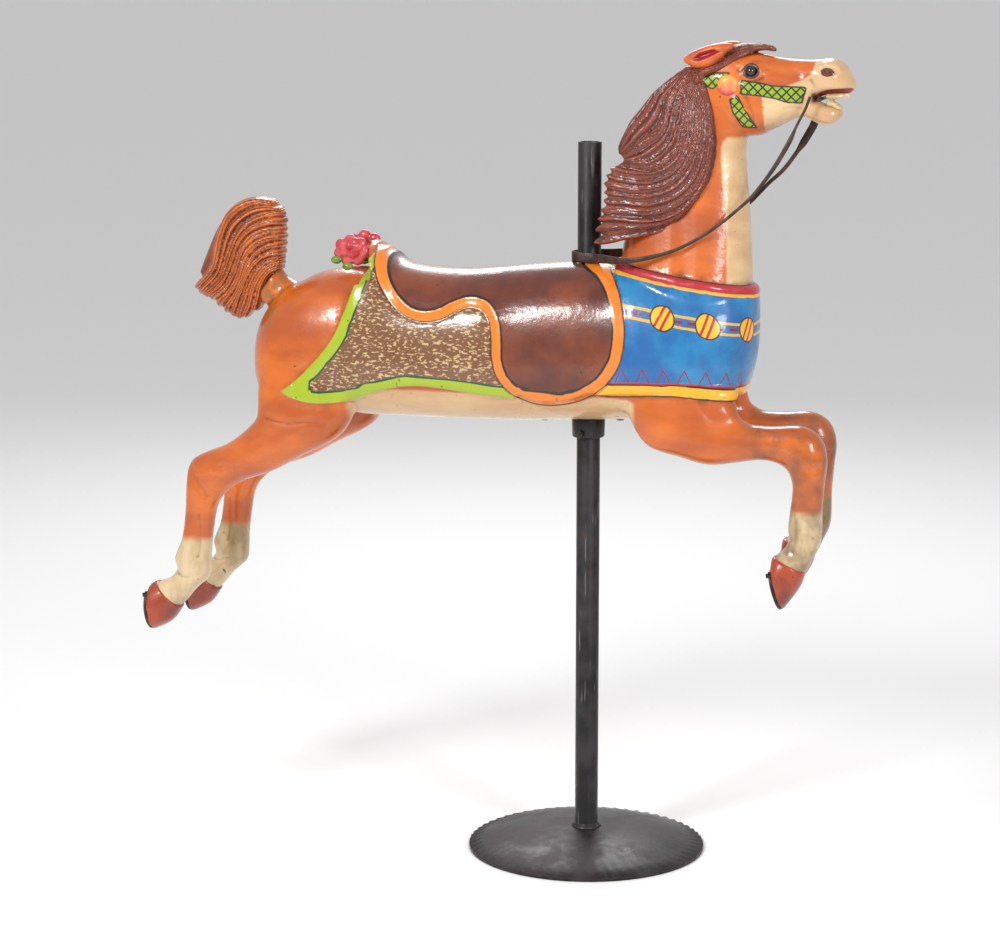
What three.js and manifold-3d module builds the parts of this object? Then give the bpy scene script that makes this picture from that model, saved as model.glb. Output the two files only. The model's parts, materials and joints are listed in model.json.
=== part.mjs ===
// A carved wooden carousel horse, held on a steel tube that stands on a domed disc foot.
// Units are millimetres, +Z is up, the horse looks along +X, and its right side faces -Y.
// While it is built, x = 0 is the axis of the tube and z = 0 is the floor. The last lines move
// the whole group so that the origin is the middle of its box, on the floor.
//
// A profile point is [x, z] in the side plane. A station is one oval section of a carved form:
// [a, b, w, y, lean] has two profile points a and b, a half width w across, the place y of its
// middle, and how much further to the left a lies than that (and b to the right).

import * as THREE from 'three';
import { mergeVertices } from 'three/addons/utils/BufferGeometryUtils.js';
import Module from 'manifold-3d';

// ---- driving dimensions ----
const TUBE_R = 22.225;         // 1 3/4 inch steel tube
const TUBE_WALL = 3.6;
const TUBE_TOP = 1371;
const BORE_R = 24;             // the hole through the horse that the tube passes
const DISC_R = 228.6;          // 18 inch harrow disc
const DISC_DOME = 40;          // height of the dome where the tube is welded on
const DISC_SHEET = 5;
const DISC_FLUTES = 60;        // crimps round the rim
const COLLAR_R = 31.75;        // stop collar under the belly
const COLLAR_TOP = 847;
const COLLAR_H = 36;
const LEG_Y = 85;              // the legs stand this far to each side of the middle
const FAR_HIND_STEP = 17;      // the left hind leg is carved this much further forward
const GAP = 0.35;              // air left between two pieces that touch
const SHOE_T = 5;
const EYE_R = 10;

// ---- manifold helpers ----
const wasm = await Module();
wasm.setup();

function toSolid(geometry) {
  const g = geometry.clone();
  g.deleteAttribute('normal');
  g.deleteAttribute('uv');
  const merged = mergeVertices(g, 1e-3);
  return new wasm.Manifold(new wasm.Mesh({
    numProp: 3,
    vertProperties: new Float32Array(merged.attributes.position.array),
    triVerts: new Uint32Array(merged.index.array),
  }));
}

function toGeometry(solid) {
  const mesh = solid.getMesh();
  const g = new THREE.BufferGeometry();
  g.setAttribute('position', new THREE.BufferAttribute(new Float32Array(mesh.vertProperties), 3));
  g.setIndex(new THREE.BufferAttribute(new Uint32Array(mesh.triVerts), 1));
  return g;
}

const union = (solids) => solids.reduce((sum, next) => sum.add(next));

// ---- lofts ----
// Smooth values through a list of rows of numbers, with `steps` parts between two rows.
function smoothRows(rows, steps) {
  const out = [];
  for (let i = 0; i < rows.length - 1; i++) {
    const p0 = rows[Math.max(i - 1, 0)];
    const p1 = rows[i];
    const p2 = rows[i + 1];
    const p3 = rows[Math.min(i + 2, rows.length - 1)];
    for (let s = 0; s < steps; s++) {
      const t = s / steps;
      out.push(p1.map((_, k) => 0.5 * (2 * p1[k] + (p2[k] - p0[k]) * t
        + (2 * p0[k] - 5 * p1[k] + 4 * p2[k] - p3[k]) * t * t
        + (3 * p1[k] - p0[k] - 3 * p2[k] + p3[k]) * t * t * t)));
    }
  }
  out.push(rows[rows.length - 1]);
  return out;
}

// A closed skin over oval sections. `power` above 2 makes them squarer, `egg` above 0 makes them
// wider towards the points a, and `comb` sinks every second edge, as grooves between locks.
function loft(stations, { sides = 16, steps = 2, power = 2.2, egg = 0, grow = 0, comb = 0 } = {}) {
  const rows = smoothRows(
    stations.map(([a, b, w, y = 0, lean = 0]) => [...a, ...b, w, y, lean]), steps,
  );
  const positions = [];
  const index = [];
  for (const [ax, az, bx, bz, w, y, lean] of rows) {
    const length = Math.hypot(ax - bx, az - bz) || 1;
    const half = length / 2 + grow;
    const ux = (ax - bx) / length;
    const uz = (az - bz) / length;
    for (let i = 0; i < sides; i++) {
      const angle = (2 * Math.PI * i) / sides;
      const c = Math.sign(Math.cos(angle)) * Math.abs(Math.cos(angle)) ** (2 / power);
      const s = Math.sign(Math.sin(angle)) * Math.abs(Math.sin(angle)) ** (2 / power);
      const across = (w + grow) * (i % 2 ? 1 - comb : 1);
      positions.push((ax + bx) / 2 + ux * half * c, y + lean * c + across * s * (1 + egg * c),
        (az + bz) / 2 + uz * half * c);
    }
  }
  const last = rows.length - 1;
  for (const r of [0, last]) {
    const [ax, az, bx, bz, , y] = rows[r];
    positions.push((ax + bx) / 2, y, (az + bz) / 2);
  }
  const at = (r, i) => r * sides + (i % sides);
  for (let i = 0; i < sides; i++) {
    for (let r = 0; r < last; r++) {
      index.push(at(r, i), at(r + 1, i), at(r + 1, i + 1), at(r, i), at(r + 1, i + 1), at(r, i + 1));
    }
    index.push(rows.length * sides, at(0, i), at(0, i + 1));
    index.push(rows.length * sides + 1, at(last, i + 1), at(last, i));
  }
  return closedSolid(positions, index);
}

// A solid from loose faces that all turn one way: they are turned over if they face inwards.
function closedSolid(positions, index) {
  const p = (i) => new THREE.Vector3(positions[3 * i], positions[3 * i + 1], positions[3 * i + 2]);
  let volume = 0;
  for (let i = 0; i < index.length; i += 3) {
    volume += p(index[i]).dot(p(index[i + 1]).cross(p(index[i + 2])));
  }
  const g = new THREE.BufferGeometry();
  g.setAttribute('position', new THREE.BufferAttribute(new Float32Array(positions), 3));
  g.setIndex(volume > 0 ? index : index.slice().reverse());
  return toSolid(g);
}

// A lock of hair, an ear or a bar: [x, z, y, half width, half thickness] along its middle line.
function strand(points, { sides = 8, steps = 2, power = 2 } = {}) {
  const rows = smoothRows(points, steps);
  const stations = rows.map(([x, z, y, width, thick], i) => {
    const before = rows[Math.max(i - 1, 0)];
    const after = rows[Math.min(i + 1, rows.length - 1)];
    const run = Math.hypot(after[0] - before[0], after[1] - before[1]) || 1;
    const nx = (-(after[1] - before[1]) / run) * width;
    const nz = ((after[0] - before[0]) / run) * width;
    return [[x + nx, z + nz], [x - nx, z - nz], thick, y];
  });
  return loft(stations, { sides, steps: 1, power });
}

// The space that an outline in the side plane covers, right across the horse.
const ACROSS = 400;
function prism(outline, curved = false) {
  const shape = new THREE.Shape();
  const points = outline.map(([x, z]) => new THREE.Vector2(x, z));
  shape.moveTo(points[0].x, points[0].y);
  if (curved) shape.splineThru(points.slice(1));
  else points.slice(1).forEach((point) => shape.lineTo(point.x, point.y));
  const g = new THREE.ExtrudeGeometry(shape, {
    depth: ACROSS, bevelEnabled: false, curveSegments: 2,
  });
  g.rotateX(Math.PI / 2);
  g.translate(0, ACROSS / 2, 0);
  return toSolid(g);
}

function ball([x, y, z], [rx, ry, rz], detail = 8, turn = new THREE.Matrix4()) {
  const g = new THREE.SphereGeometry(1, detail, Math.round(detail * 0.6));
  g.scale(rx, ry, rz);
  g.translate(x, y, z);
  g.applyMatrix4(turn);
  return toSolid(g);
}

function rod(radius, length, x, y, z, segments = 12) {
  const g = new THREE.CylinderGeometry(radius, radius, length, segments);
  g.translate(x, y, z);
  return g;
}

function turned(profile, segments = 24) {
  const g = new THREE.LatheGeometry(profile.map(([r, z]) => new THREE.Vector2(r, z)), segments);
  g.rotateX(Math.PI / 2);
  return g;
}

// ---- torso, with the raised saddle, blanket and breast collar ----
const SADDLE_RISE = 6;
const BLANKET_RISE = 3;
const BREAST_COLLAR_RISE = 5;
const TORSO = [
  [[-656, 975], [-656, 930], 20],
  [[-645, 1022], [-648, 880], 70],
  [[-612, 1066], [-620, 848], 106],
  [[-570, 1092], [-570, 842], 121],
  [[-520, 1114], [-520, 840], 128],
  [[-455, 1123], [-455, 841], 130],
  [[-360, 1115], [-360, 840], 128],
  [[-240, 1113], [-240, 840], 126],
  [[-120, 1124], [-120, 842], 125],
  [[0, 1134], [0, 848], 125],
  [[100, 1143], [100, 850], 125],
  [[190, 1142], [190, 852], 121],
  [[240, 1132], [240, 868], 113],
  [[278, 1122], [276, 886], 98],
  [[302, 1116], [294, 905], 76],
  [[315, 1110], [310, 945], 48],
  [[320, 1090], [319, 985], 20],
];
const TORSO_FORM = { sides: 20, steps: 1, power: 2.3, egg: -0.05 };

// The seat runs up to the cantle behind and stops just past the tube in front.
const SEAT = [
  [[-458, 1116], [-458, 838], 128],
  [[-446, 1156], [-446, 838], 128],
  [[-430, 1170], [-430, 838], 128],
  [[-407, 1162], [-407, 838], 128],
  [[-384, 1138], [-384, 838], 128],
  [[-345, 1119], [-345, 838], 127],
  [[-240, 1116], [-240, 838], 126],
  [[-120, 1129], [-120, 840], 125],
  [[0, 1139], [0, 846], 125],
  [[110, 1149], [110, 848], 125],
];
const SADDLE_EDGE = [
  [-440, 1200], [-405, 1128], [-380, 1090], [-345, 1056], [-300, 1037], [-255, 1044], [-206, 1064],
  [-172, 1056], [-158, 1014], [-156, 972], [-144, 934], [-112, 900], [-60, 885], [-10, 890],
  [44, 915], [82, 955], [96, 1010], [88, 1070], [60, 1125], [10, 1165], [-60, 1210],
];
const BLANKET_EDGE = [
  [-440, 1150], [-440, 1090], [-458, 1045], [-480, 995], [-520, 948], [-585, 891], [-550, 878],
  [-500, 871], [-440, 876], [-370, 898], [-300, 908], [-200, 899], [-100, 884], [0, 884],
  [0, 1150],
];
const COLLAR_EDGE = [
  [40, 1155], [186, 1131], [340, 1107], [340, 903], [190, 914], [40, 910],
];

// A flat carving that stands proud of the form by `grow`, inside an outline.
const raised = (stations, grow, area) => loft(stations, { ...TORSO_FORM, grow }).intersect(area);

function torso() {
  return union([
    loft(TORSO, TORSO_FORM),
    raised(SEAT, SADDLE_RISE, prism(SADDLE_EDGE, true)),
    raised(TORSO, BLANKET_RISE, prism(BLANKET_EDGE)),
    raised(TORSO, BREAST_COLLAR_RISE, prism(COLLAR_EDGE)),
  ]);
}

// ---- neck and head ----
const NECK = [
  [[70, 1040], [305, 1040], 96],
  [[62, 1120], [311, 1112], 94],
  [[66, 1175], [309, 1175], 84],
  [[80, 1240], [306, 1236], 72],
  [[98, 1300], [301, 1296], 63],
  [[118, 1360], [296, 1356], 56],
  [[145, 1425], [300, 1405], 52],
  [[170, 1475], [292, 1440], 49],
  [[198, 1518], [282, 1480], 42],
  [[225, 1540], [268, 1512], 26],
];
const HEAD = [
  [[205, 1500], [222, 1440], 30],
  [[222, 1530], [250, 1405], 46],
  [[255, 1543], [285, 1390], 52],
  [[292, 1543], [322, 1388], 53],
  [[328, 1538], [350, 1400], 48],
  [[362, 1531], [375, 1413], 41],
  [[398, 1528], [403, 1430], 36],
  [[425, 1528], [425, 1458], 34],
  [[450, 1531], [449, 1464], 36],
  [[470, 1527], [470, 1465], 34],
  [[485, 1512], [484, 1466], 27],
  [[497, 1490], [497, 1476], 12],
];
const LOWER_JAW = [
  [[370, 1450], [372, 1415], 26],
  [[404, 1453], [404, 1424], 28],
  [[430, 1451], [424, 1414], 28],
  [[456, 1446], [450, 1409], 26],
  [[470, 1439], [466, 1418], 19],
  [[476, 1434], [475, 1426], 8],
];

// Hair and ears are cut with fewer facets than the body.
const lock = (points) => strand(points, { sides: 6, steps: 1 });

// The forelock is combed forward from between the ears and stands off at its end.
const FORELOCK = [
  [[196, 1522], [206, 1496], 30],
  [[228, 1548], [232, 1486], 47],
  [[272, 1556], [266, 1502], 48],
  [[312, 1556], [306, 1524], 36],
  [[342, 1556], [340, 1534], 22],
  [[355, 1546], [352, 1536], 9],
];

function ear(side) {
  const outer = lock([
    [264, 1532, side * 34, 8, 8], [242, 1537, side * 44, 17, 12], [216, 1535, side * 52, 16, 11],
    [194, 1530, side * 56, 8, 7], [182, 1526, side * 57, 2, 2],
  ]);
  const scoop = lock([
    [250, 1538, side * 55, 3, 5], [232, 1538, side * 60, 10, 10], [212, 1536, side * 64, 9, 9],
    [194, 1531, side * 64, 3, 4],
  ]);
  return outer.subtract(scoop);
}

function head() {
  const form = { sides: 12, steps: 1, power: 2.5 };
  const upperTeeth = lock([[452, 1462, 0, 6, 24], [478, 1463, 0, 6, 22], [488, 1464, 0, 4, 12]]);
  const lowerTeeth = lock([[446, 1452, 0, 4, 20], [466, 1443, 0, 4, 17], [474, 1437, 0, 3, 10]]);
  const parts = [loft(HEAD, form), loft(LOWER_JAW, form), upperTeeth, lowerTeeth];
  for (const side of [-1, 1]) {
    parts.push(ear(side));
    parts.push(ball([270, side * 50, 1482], [22, 10, 22], 10));          // bridle rosette
    parts.push(ball([312, side * 43, 1508], [22, 12, 14], 6));          // eye lids
    parts.push(ball([454, side * 32, 1506], [22, 9, 15], 6));           // nostril rim
  }
  parts.push(loft(FORELOCK, { sides: 18, steps: 1, comb: 0.15 }));
  let solid = union(parts);
  for (const side of [-1, 1]) {
    solid = solid.subtract(ball([456, side * 41, 1507], [15, 9, 7], 6));  // nostril
  }
  return solid;
}

// ---- mane: each station is a cut across all the locks, from the hindmost to the foremost ----
const MANE = [
  [[190, 1516], [214, 1482], 18, -38, 2],
  [[155, 1487], [229, 1402], 27, -42, 6],
  [[114, 1454], [222, 1300], 30, -55, 12],
  [[90, 1427], [192, 1243], 31, -62, 20],
  [[78, 1393], [128, 1206], 31, -64, 22],
  [[67, 1351], [84, 1180], 26, -64, 20],
  [[42, 1320], [44, 1168], 18, -62, 14],
  [[26, 1262], [14, 1170], 9, -60, 8],
];
const FAR_MANE = [
  [[194, 1512], [208, 1490], 14, 18],
  [[156, 1482], [212, 1420], 24, 24],
  [[116, 1444], [200, 1350], 27, 30],
  [[92, 1400], [176, 1292], 28, 34],
  [[80, 1350], [130, 1240], 27, 38],
  [[68, 1300], [84, 1208], 20, 40],
  [[58, 1262], [60, 1212], 10, 40],
];

function mane() {
  return loft(MANE, { sides: 32, steps: 1, comb: 0.28 })
    .add(loft(FAR_MANE, { sides: 20, steps: 1, comb: 0.12 }));
}

// ---- tail ----
const TAIL = [
  [[-611, 1230], [-620, 1098], 25],
  [[-642, 1257], [-638, 1084], 33],
  [[-704, 1254], [-652, 1066], 36],
  [[-746, 1210], [-660, 1050], 36],
  [[-772, 1160], [-664, 1038], 34],
  [[-794, 1110], [-668, 1026], 30],
  [[-807, 1076], [-680, 1010], 22],
  [[-805, 1056], [-700, 997], 8],
];
const TAIL_DOCK = [
  [[-570, 1086], [-600, 1030], 30],
  [[-598, 1096], [-636, 1040], 29],
  [[-616, 1118], [-664, 1050], 30],
];

function tail() {
  return loft(TAIL, { sides: 32, steps: 1, power: 2.4, comb: 0.2 })
    .add(loft(TAIL_DOCK, { sides: 10, steps: 1 }));
}

// ---- legs ----
// The sections below are half widths, and y is how far the leg's middle lies from the horse's.
const FORE_LEG = [
  [[130, 960], [250, 940], 30, LEG_Y - 12],
  [[88, 905], [290, 928], 38, LEG_Y - 8],
  [[104, 852], [298, 903], 42, LEG_Y - 4],
  [[136, 812], [303, 882], 43, LEG_Y - 2],
  [[196, 795], [308, 873], 43, LEG_Y - 1],
  [[250, 783], [318, 866], 41, LEG_Y],
  [[300, 789], [332, 861], 37, LEG_Y],
  [[350, 797], [368, 860], 34, LEG_Y],
  [[384, 790], [424, 863], 34, LEG_Y],
  [[400, 777], [459, 843], 36, LEG_Y],
  [[408, 755], [472, 805], 34, LEG_Y],
  [[408, 735], [469, 765], 30, LEG_Y],
  [[404, 700], [465, 710], 26, LEG_Y],
  [[401, 668], [465, 668], 28, LEG_Y],
  [[404, 648], [462, 642], 31, LEG_Y],
  [[392, 629], [450, 616], 29, LEG_Y],
  [[380, 618], [440, 594], 31, LEG_Y],
  [[376, 596], [424, 574], 28, LEG_Y],
];
const FORE_HOOF = [
  [[376, 618], [437, 592], 33, LEG_Y],
  [[372, 611], [426, 560], 38, LEG_Y],
  [[371, 600], [395, 516], 41, LEG_Y],
];
const HIND_LEG = [
  [[-600, 1050], [-470, 1050], 30, LEG_Y - 20],
  [[-622, 985], [-440, 985], 44, LEG_Y - 12],
  [[-634, 905], [-432, 905], 50, LEG_Y - 8],
  [[-636, 852], [-440, 856], 51, LEG_Y - 5],
  [[-640, 830], [-472, 804], 49, LEG_Y - 3],
  [[-670, 800], [-545, 763], 46, LEG_Y],
  [[-704, 777], [-604, 731], 42, LEG_Y],
  [[-742, 762], [-668, 707], 36, LEG_Y],
  [[-774, 742], [-704, 682], 33, LEG_Y],
  [[-784, 700], [-722, 655], 29, LEG_Y],
  [[-788, 640], [-731, 612], 25, LEG_Y],
  [[-796, 588], [-736, 570], 25, LEG_Y],
  [[-811, 550], [-738, 538], 30, LEG_Y],
  [[-806, 526], [-742, 512], 30, LEG_Y],
  [[-824, 506], [-768, 488], 29, LEG_Y],
  [[-846, 498], [-798, 454], 32, LEG_Y],
  [[-856, 480], [-818, 446], 28, LEG_Y],
];
const HIND_HOOF = [
  [[-848, 499], [-798, 450], 34, LEG_Y],
  [[-857, 496], [-820, 420], 39, LEG_Y],
  [[-864, 490], [-856, 401], 42, LEG_Y],
];

// Moves a leg along x and to one side of the horse.
const placed = (stations, side, step) => stations.map(([[ax, az], [bx, bz], w, y]) => (
  [[ax + step, az], [bx + step, bz], w, side * y]));

const LEGS = [
  { name: 'front_right', leg: FORE_LEG, hoof: FORE_HOOF, side: -1, step: 0 },
  { name: 'front_left', leg: FORE_LEG, hoof: FORE_HOOF, side: 1, step: -9 },
  { name: 'hind_right', leg: HIND_LEG, hoof: HIND_HOOF, side: -1, step: 0 },
  { name: 'hind_left', leg: HIND_LEG, hoof: HIND_HOOF, side: 1, step: FAR_HIND_STEP },
];

function legSolid({ leg, hoof, side, step }) {
  return loft(placed(leg, side, step), { sides: 10, steps: 1 })
    .add(loft(placed(hoof, side, step), { sides: 16, steps: 1 }));
}

// A horseshoe: a flat band on the sole, open at the heel, with a raised knob at each heel.
const SHOE_BAND = 12;
const SHOE_INSET = 1.5;
const SHOE_OPENING = 0.6;      // half angle of the open heel, in radians
const KNOB_R = 4.5;
const KNOB_RISE = 5;

function horseshoe({ hoof, side, step }) {
  const [[heelX, heelZ], [toeX, toeZ], w, y] = placed(hoof, side, step)[hoof.length - 1];
  const length = Math.hypot(heelX - toeX, heelZ - toeZ);
  const long = length / 2 - SHOE_INSET;
  const wide = w - SHOE_INSET;
  const shape = new THREE.Shape();
  const end = 2 * Math.PI - SHOE_OPENING;
  shape.absellipse(0, 0, long, wide, SHOE_OPENING, end, false);
  shape.absellipse(0, 0, long - SHOE_BAND, wide - SHOE_BAND, end, SHOE_OPENING, true);
  const band = new THREE.ExtrudeGeometry(shape, {
    depth: SHOE_T, bevelEnabled: false, curveSegments: 12,
  });
  const knobs = [-1, 1].map((hand) => {
    const knob = new THREE.CylinderGeometry(KNOB_R, KNOB_R, SHOE_T + KNOB_RISE, 8);
    knob.rotateX(Math.PI / 2);
    knob.translate((long - SHOE_BAND / 2) * Math.cos(SHOE_OPENING + 0.1),
      hand * (wide - SHOE_BAND / 2) * Math.sin(SHOE_OPENING + 0.1), (SHOE_T + KNOB_RISE) / 2);
    return toSolid(knob);
  });
  const g = toGeometry(union([toSolid(band), ...knobs]));
  const along = new THREE.Vector3((heelX - toeX) / length, 0, (heelZ - toeZ) / length);
  const across = new THREE.Vector3(0, 1, 0);
  const out = new THREE.Vector3().crossVectors(along, across);
  const frame = new THREE.Matrix4().makeBasis(along, across, out);
  frame.setPosition((heelX + toeX) / 2 + out.x * GAP, y, (heelZ + toeZ) / 2 + out.z * GAP);
  g.applyMatrix4(frame);
  return g;
}

// ---- roses behind the cantle ----
function rose(side) {
  const facing = new THREE.Vector3(-0.25, side * 0.9, 0.35).normalize();
  const across = new THREE.Vector3().crossVectors(new THREE.Vector3(0, 0, 1), facing).normalize();
  const turn = new THREE.Matrix4().makeBasis(
    across, new THREE.Vector3().crossVectors(facing, across), facing,
  );
  turn.setPosition(-456, side * 40, 1165);
  const petals = turned([
    [0, -14], [24, -12], [34, -3], [31, 5], [21, 3], [20, 11], [12, 9], [10, 15], [0, 17],
  ], 9);
  petals.applyMatrix4(turn);
  const leaves = ball([-440, side * 22, 1146], [22, 22, 30], 7);
  return toSolid(petals).add(leaves);
}

// ---- the horse as one carved solid, with the holes that metal and glass go into ----
const BIT = { x: 436, z: 1457.5, radius: 3.5, length: 84 };
const BELLY_BOLTS = { front: { x: 62, z: 844 }, rear: { x: -86, z: 838 } };
const BOLT_HEAD_R = 9;
const BOLT_HEAD_H = 6;
const BOLT_SHANK_R = 4;
const BOLT_DEPTH = 60;

function boltSolid({ x, z }, clearance) {
  const head = BOLT_HEAD_R + clearance;
  const shank = BOLT_SHANK_R + clearance;
  const under = z + BOLT_HEAD_H + clearance;
  const g = turned([
    [0, z], [head * 0.75, z + 1], [head, z + BOLT_HEAD_H * 0.6], [head, under], [shank, under],
    [shank, z + BOLT_DEPTH + clearance], [0, z + BOLT_DEPTH + clearance],
  ], 16);
  g.translate(x, 0, 0);
  return g;
}

const eyeAt = (side, radius) => {
  const g = new THREE.SphereGeometry(radius, 12, 8);
  g.translate(312, side * 46, 1508);
  return g;
};

function horse() {
  const wood = union([
    torso(), loft(NECK, { sides: 16, steps: 1, egg: -0.08 }), head(), mane(), tail(),
    ...LEGS.map(legSolid), rose(-1), rose(1),
  ]);
  const bore = new THREE.CylinderGeometry(BORE_R, BORE_R, 800, 24);
  bore.rotateX(Math.PI / 2);
  bore.translate(0, 0, 1150);
  const seat = new THREE.CylinderGeometry(COLLAR_R + 1, COLLAR_R + 1, 100, 24);
  seat.rotateX(Math.PI / 2);
  seat.translate(0, 0, COLLAR_TOP + GAP - 50);
  const holes = [
    bore, seat, eyeAt(-1, EYE_R + GAP), eyeAt(1, EYE_R + GAP),
    rod(BIT.radius + 1.5, BIT.length + 20, BIT.x, 0, BIT.z),
    boltSolid(BELLY_BOLTS.front, 0.5), boltSolid(BELLY_BOLTS.rear, 0.5),
  ].map(toSolid);
  return toGeometry(holes.reduce((left, hole) => left.subtract(hole), wood));
}

// ---- stand ----
const HUB_R = 58;              // flat middle of the disc
const RIM_TOP = 6;
const FLUTE_R = 200;           // the crimps start here
const FLUTE_RISE = 3;

function discTop(r) {
  const t = Math.max(0, (r - HUB_R) / (DISC_R - HUB_R));
  return RIM_TOP + (DISC_DOME - RIM_TOP) * (1 - t * t);
}

// Rings from the middle of the top, over the rim, to the middle of the underside.
function baseDisc() {
  const segments = DISC_FLUTES * 2;
  const rings = [
    ...[HUB_R, 140, FLUTE_R, DISC_R].map((r) => [r, discTop(r), r > FLUTE_R]),
    [DISC_R, 0, false], [214, 0, false],
    ...[HUB_R].map((r) => [r, discTop(r) - DISC_SHEET, false]),
  ];
  const positions = [0, 0, DISC_DOME];
  const index = [];
  rings.forEach(([r, z, fluted]) => {
    for (let i = 0; i < segments; i++) {
      const angle = (2 * Math.PI * i) / segments + (fluted ? (r - FLUTE_R) * 0.0012 : 0);
      const rise = fluted ? (i % 2 ? FLUTE_RISE : -1) * (r - FLUTE_R) / (DISC_R - FLUTE_R) : 0;
      positions.push(r * Math.cos(angle), r * Math.sin(angle), z + rise);
    }
  });
  positions.push(0, 0, DISC_DOME - DISC_SHEET);
  const at = (ring, i) => 1 + ring * segments + (i % segments);
  const last = rings.length - 1;
  for (let i = 0; i < segments; i++) {
    index.push(0, at(0, i), at(0, i + 1));
    for (let ring = 0; ring < last; ring++) {
      index.push(at(ring, i), at(ring + 1, i), at(ring + 1, i + 1));
      index.push(at(ring, i), at(ring + 1, i + 1), at(ring, i + 1));
    }
    index.push(at(last, i), positions.length / 3 - 1, at(last, i + 1));
  }
  return toGeometry(closedSolid(positions, index));
}

function tube() {
  const foot = DISC_DOME + GAP;
  const inner = TUBE_R - TUBE_WALL;
  return turned([
    [inner, foot], [TUBE_R + 7, foot], [TUBE_R + 4, foot + 4], [TUBE_R, foot + 8],
    [TUBE_R, TUBE_TOP], [inner, TUBE_TOP], [inner, foot],
  ]);
}

const BOLT_AT = { y: -(COLLAR_R - 3), z: COLLAR_TOP - 27, x: -8 };

function stopCollar() {
  const inner = TUBE_R + GAP;
  const low = COLLAR_TOP - COLLAR_H;
  const ring = turned([
    [inner, low], [COLLAR_R - 2.5, low], [COLLAR_R - 1, low + 2], [COLLAR_R, COLLAR_TOP],
    [inner, COLLAR_TOP], [inner, low],
  ]);
  const hole = rod(3.4 + GAP, 12, BOLT_AT.x, BOLT_AT.y + 3, BOLT_AT.z);
  return toGeometry(toSolid(ring).subtract(toSolid(hole)));
}

function collarBolt() {
  const head = rod(6.5, 5, BOLT_AT.x, -(COLLAR_R + 2.5 + GAP), BOLT_AT.z, 6);
  const shank = rod(3.4, 10, BOLT_AT.x, -(COLLAR_R - 2.5), BOLT_AT.z);
  return toGeometry(toSolid(head).add(toSolid(shank)));
}

// ---- the rein: a strap from one end of the bit, round the tube, to the other end ----
const REIN_R = 3.5;
// the strap's middle line, [x, y, z]: up the right side, round the tube, and up the left side
const REIN_RIGHT = [
  [421, -47, 1463], [413, -50, 1440], [399, -52, 1412], [384, -54, 1378], [358, -60, 1332],
  [325, -70, 1286], [290, -79, 1252], [258, -84, 1226], [224, -88, 1203], [184, -92, 1182],
  [140, -95, 1168], [96, -93, 1160], [50, -64, 1157], [20, -39, 1156],
];
const REIN_BACK = [
  [-12, -29, 1156], [-28, -15, 1156], [-31, 0, 1156], [-28, 15, 1156], [-12, 29, 1156],
];
const REIN_LEFT = [
  [20, 39, 1156], [50, 64, 1157], [96, 93, 1160], [140, 95, 1168], [184, 92, 1182],
  [224, 88, 1204], [258, 83, 1229], [294, 76, 1260], [328, 68, 1295], [358, 60, 1323],
  [387, 54, 1362], [404, 50, 1389], [415, 48, 1410], [422, 46, 1438], [424, 46, 1462],
];

function rein() {
  const points = [...REIN_RIGHT, ...REIN_BACK, ...REIN_LEFT].map((p) => new THREE.Vector3(...p));
  const path = new THREE.CatmullRomCurve3(points, false, 'centripetal');
  const section = new THREE.Shape();
  section.absarc(0, 0, REIN_R, 0, 2 * Math.PI, false);
  return new THREE.ExtrudeGeometry(section, { steps: 64, extrudePath: path, curveSegments: 4 });
}

// ---- the whole object ----
const paint = (color, roughness, metalness = 0) => (
  new THREE.MeshStandardMaterial({ color, roughness, metalness }));
const FINISH = {
  paintedWood: paint(0xc8641a, 0.35),
  glass: paint(0x120a06, 0.05),
  iron: paint(0x2a2622, 0.5, 0.8),
  shoe: paint(0x8d8577, 0.5, 0.7),
  leather: paint(0x37231b, 0.6),
  blackSteel: paint(0x26262a, 0.45, 0.6),
};

const group = new THREE.Group();
function add(name, geometry, material) {
  const mesh = new THREE.Mesh(geometry, material);
  mesh.name = name;
  group.add(mesh);
}

add('horse', horse(), FINISH.paintedWood);
add('glass_eye_right', eyeAt(-1, EYE_R), FINISH.glass);
add('glass_eye_left', eyeAt(1, EYE_R), FINISH.glass);
add('bit', rod(BIT.radius, BIT.length, BIT.x, 0, BIT.z), FINISH.iron);
add('rein', rein(), FINISH.leather);
for (const leg of LEGS) add(`horseshoe_${leg.name}`, horseshoe(leg), FINISH.shoe);
add('belly_bolt_front', boltSolid(BELLY_BOLTS.front, 0), FINISH.iron);
add('belly_bolt_rear', boltSolid(BELLY_BOLTS.rear, 0), FINISH.iron);
add('stop_collar', stopCollar(), FINISH.blackSteel);
add('collar_bolt', collarBolt(), FINISH.iron);
add('pole', tube(), FINISH.blackSteel);
add('base_disc', baseDisc(), FINISH.blackSteel);

const box = new THREE.Box3().setFromObject(group);
const middle = box.getCenter(new THREE.Vector3());
group.position.set(-middle.x, -middle.y, -box.min.z);

export default group;
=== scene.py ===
"""A carved and painted carousel horse, held on a black steel tube that stands on a domed disc.

The frame is in metres, +Z up; the horse looks along +X and its right side faces -Y.
"""

import json
import math

import bpy
import numpy as np
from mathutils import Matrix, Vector
from mathutils.kdtree import KDTree

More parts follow.
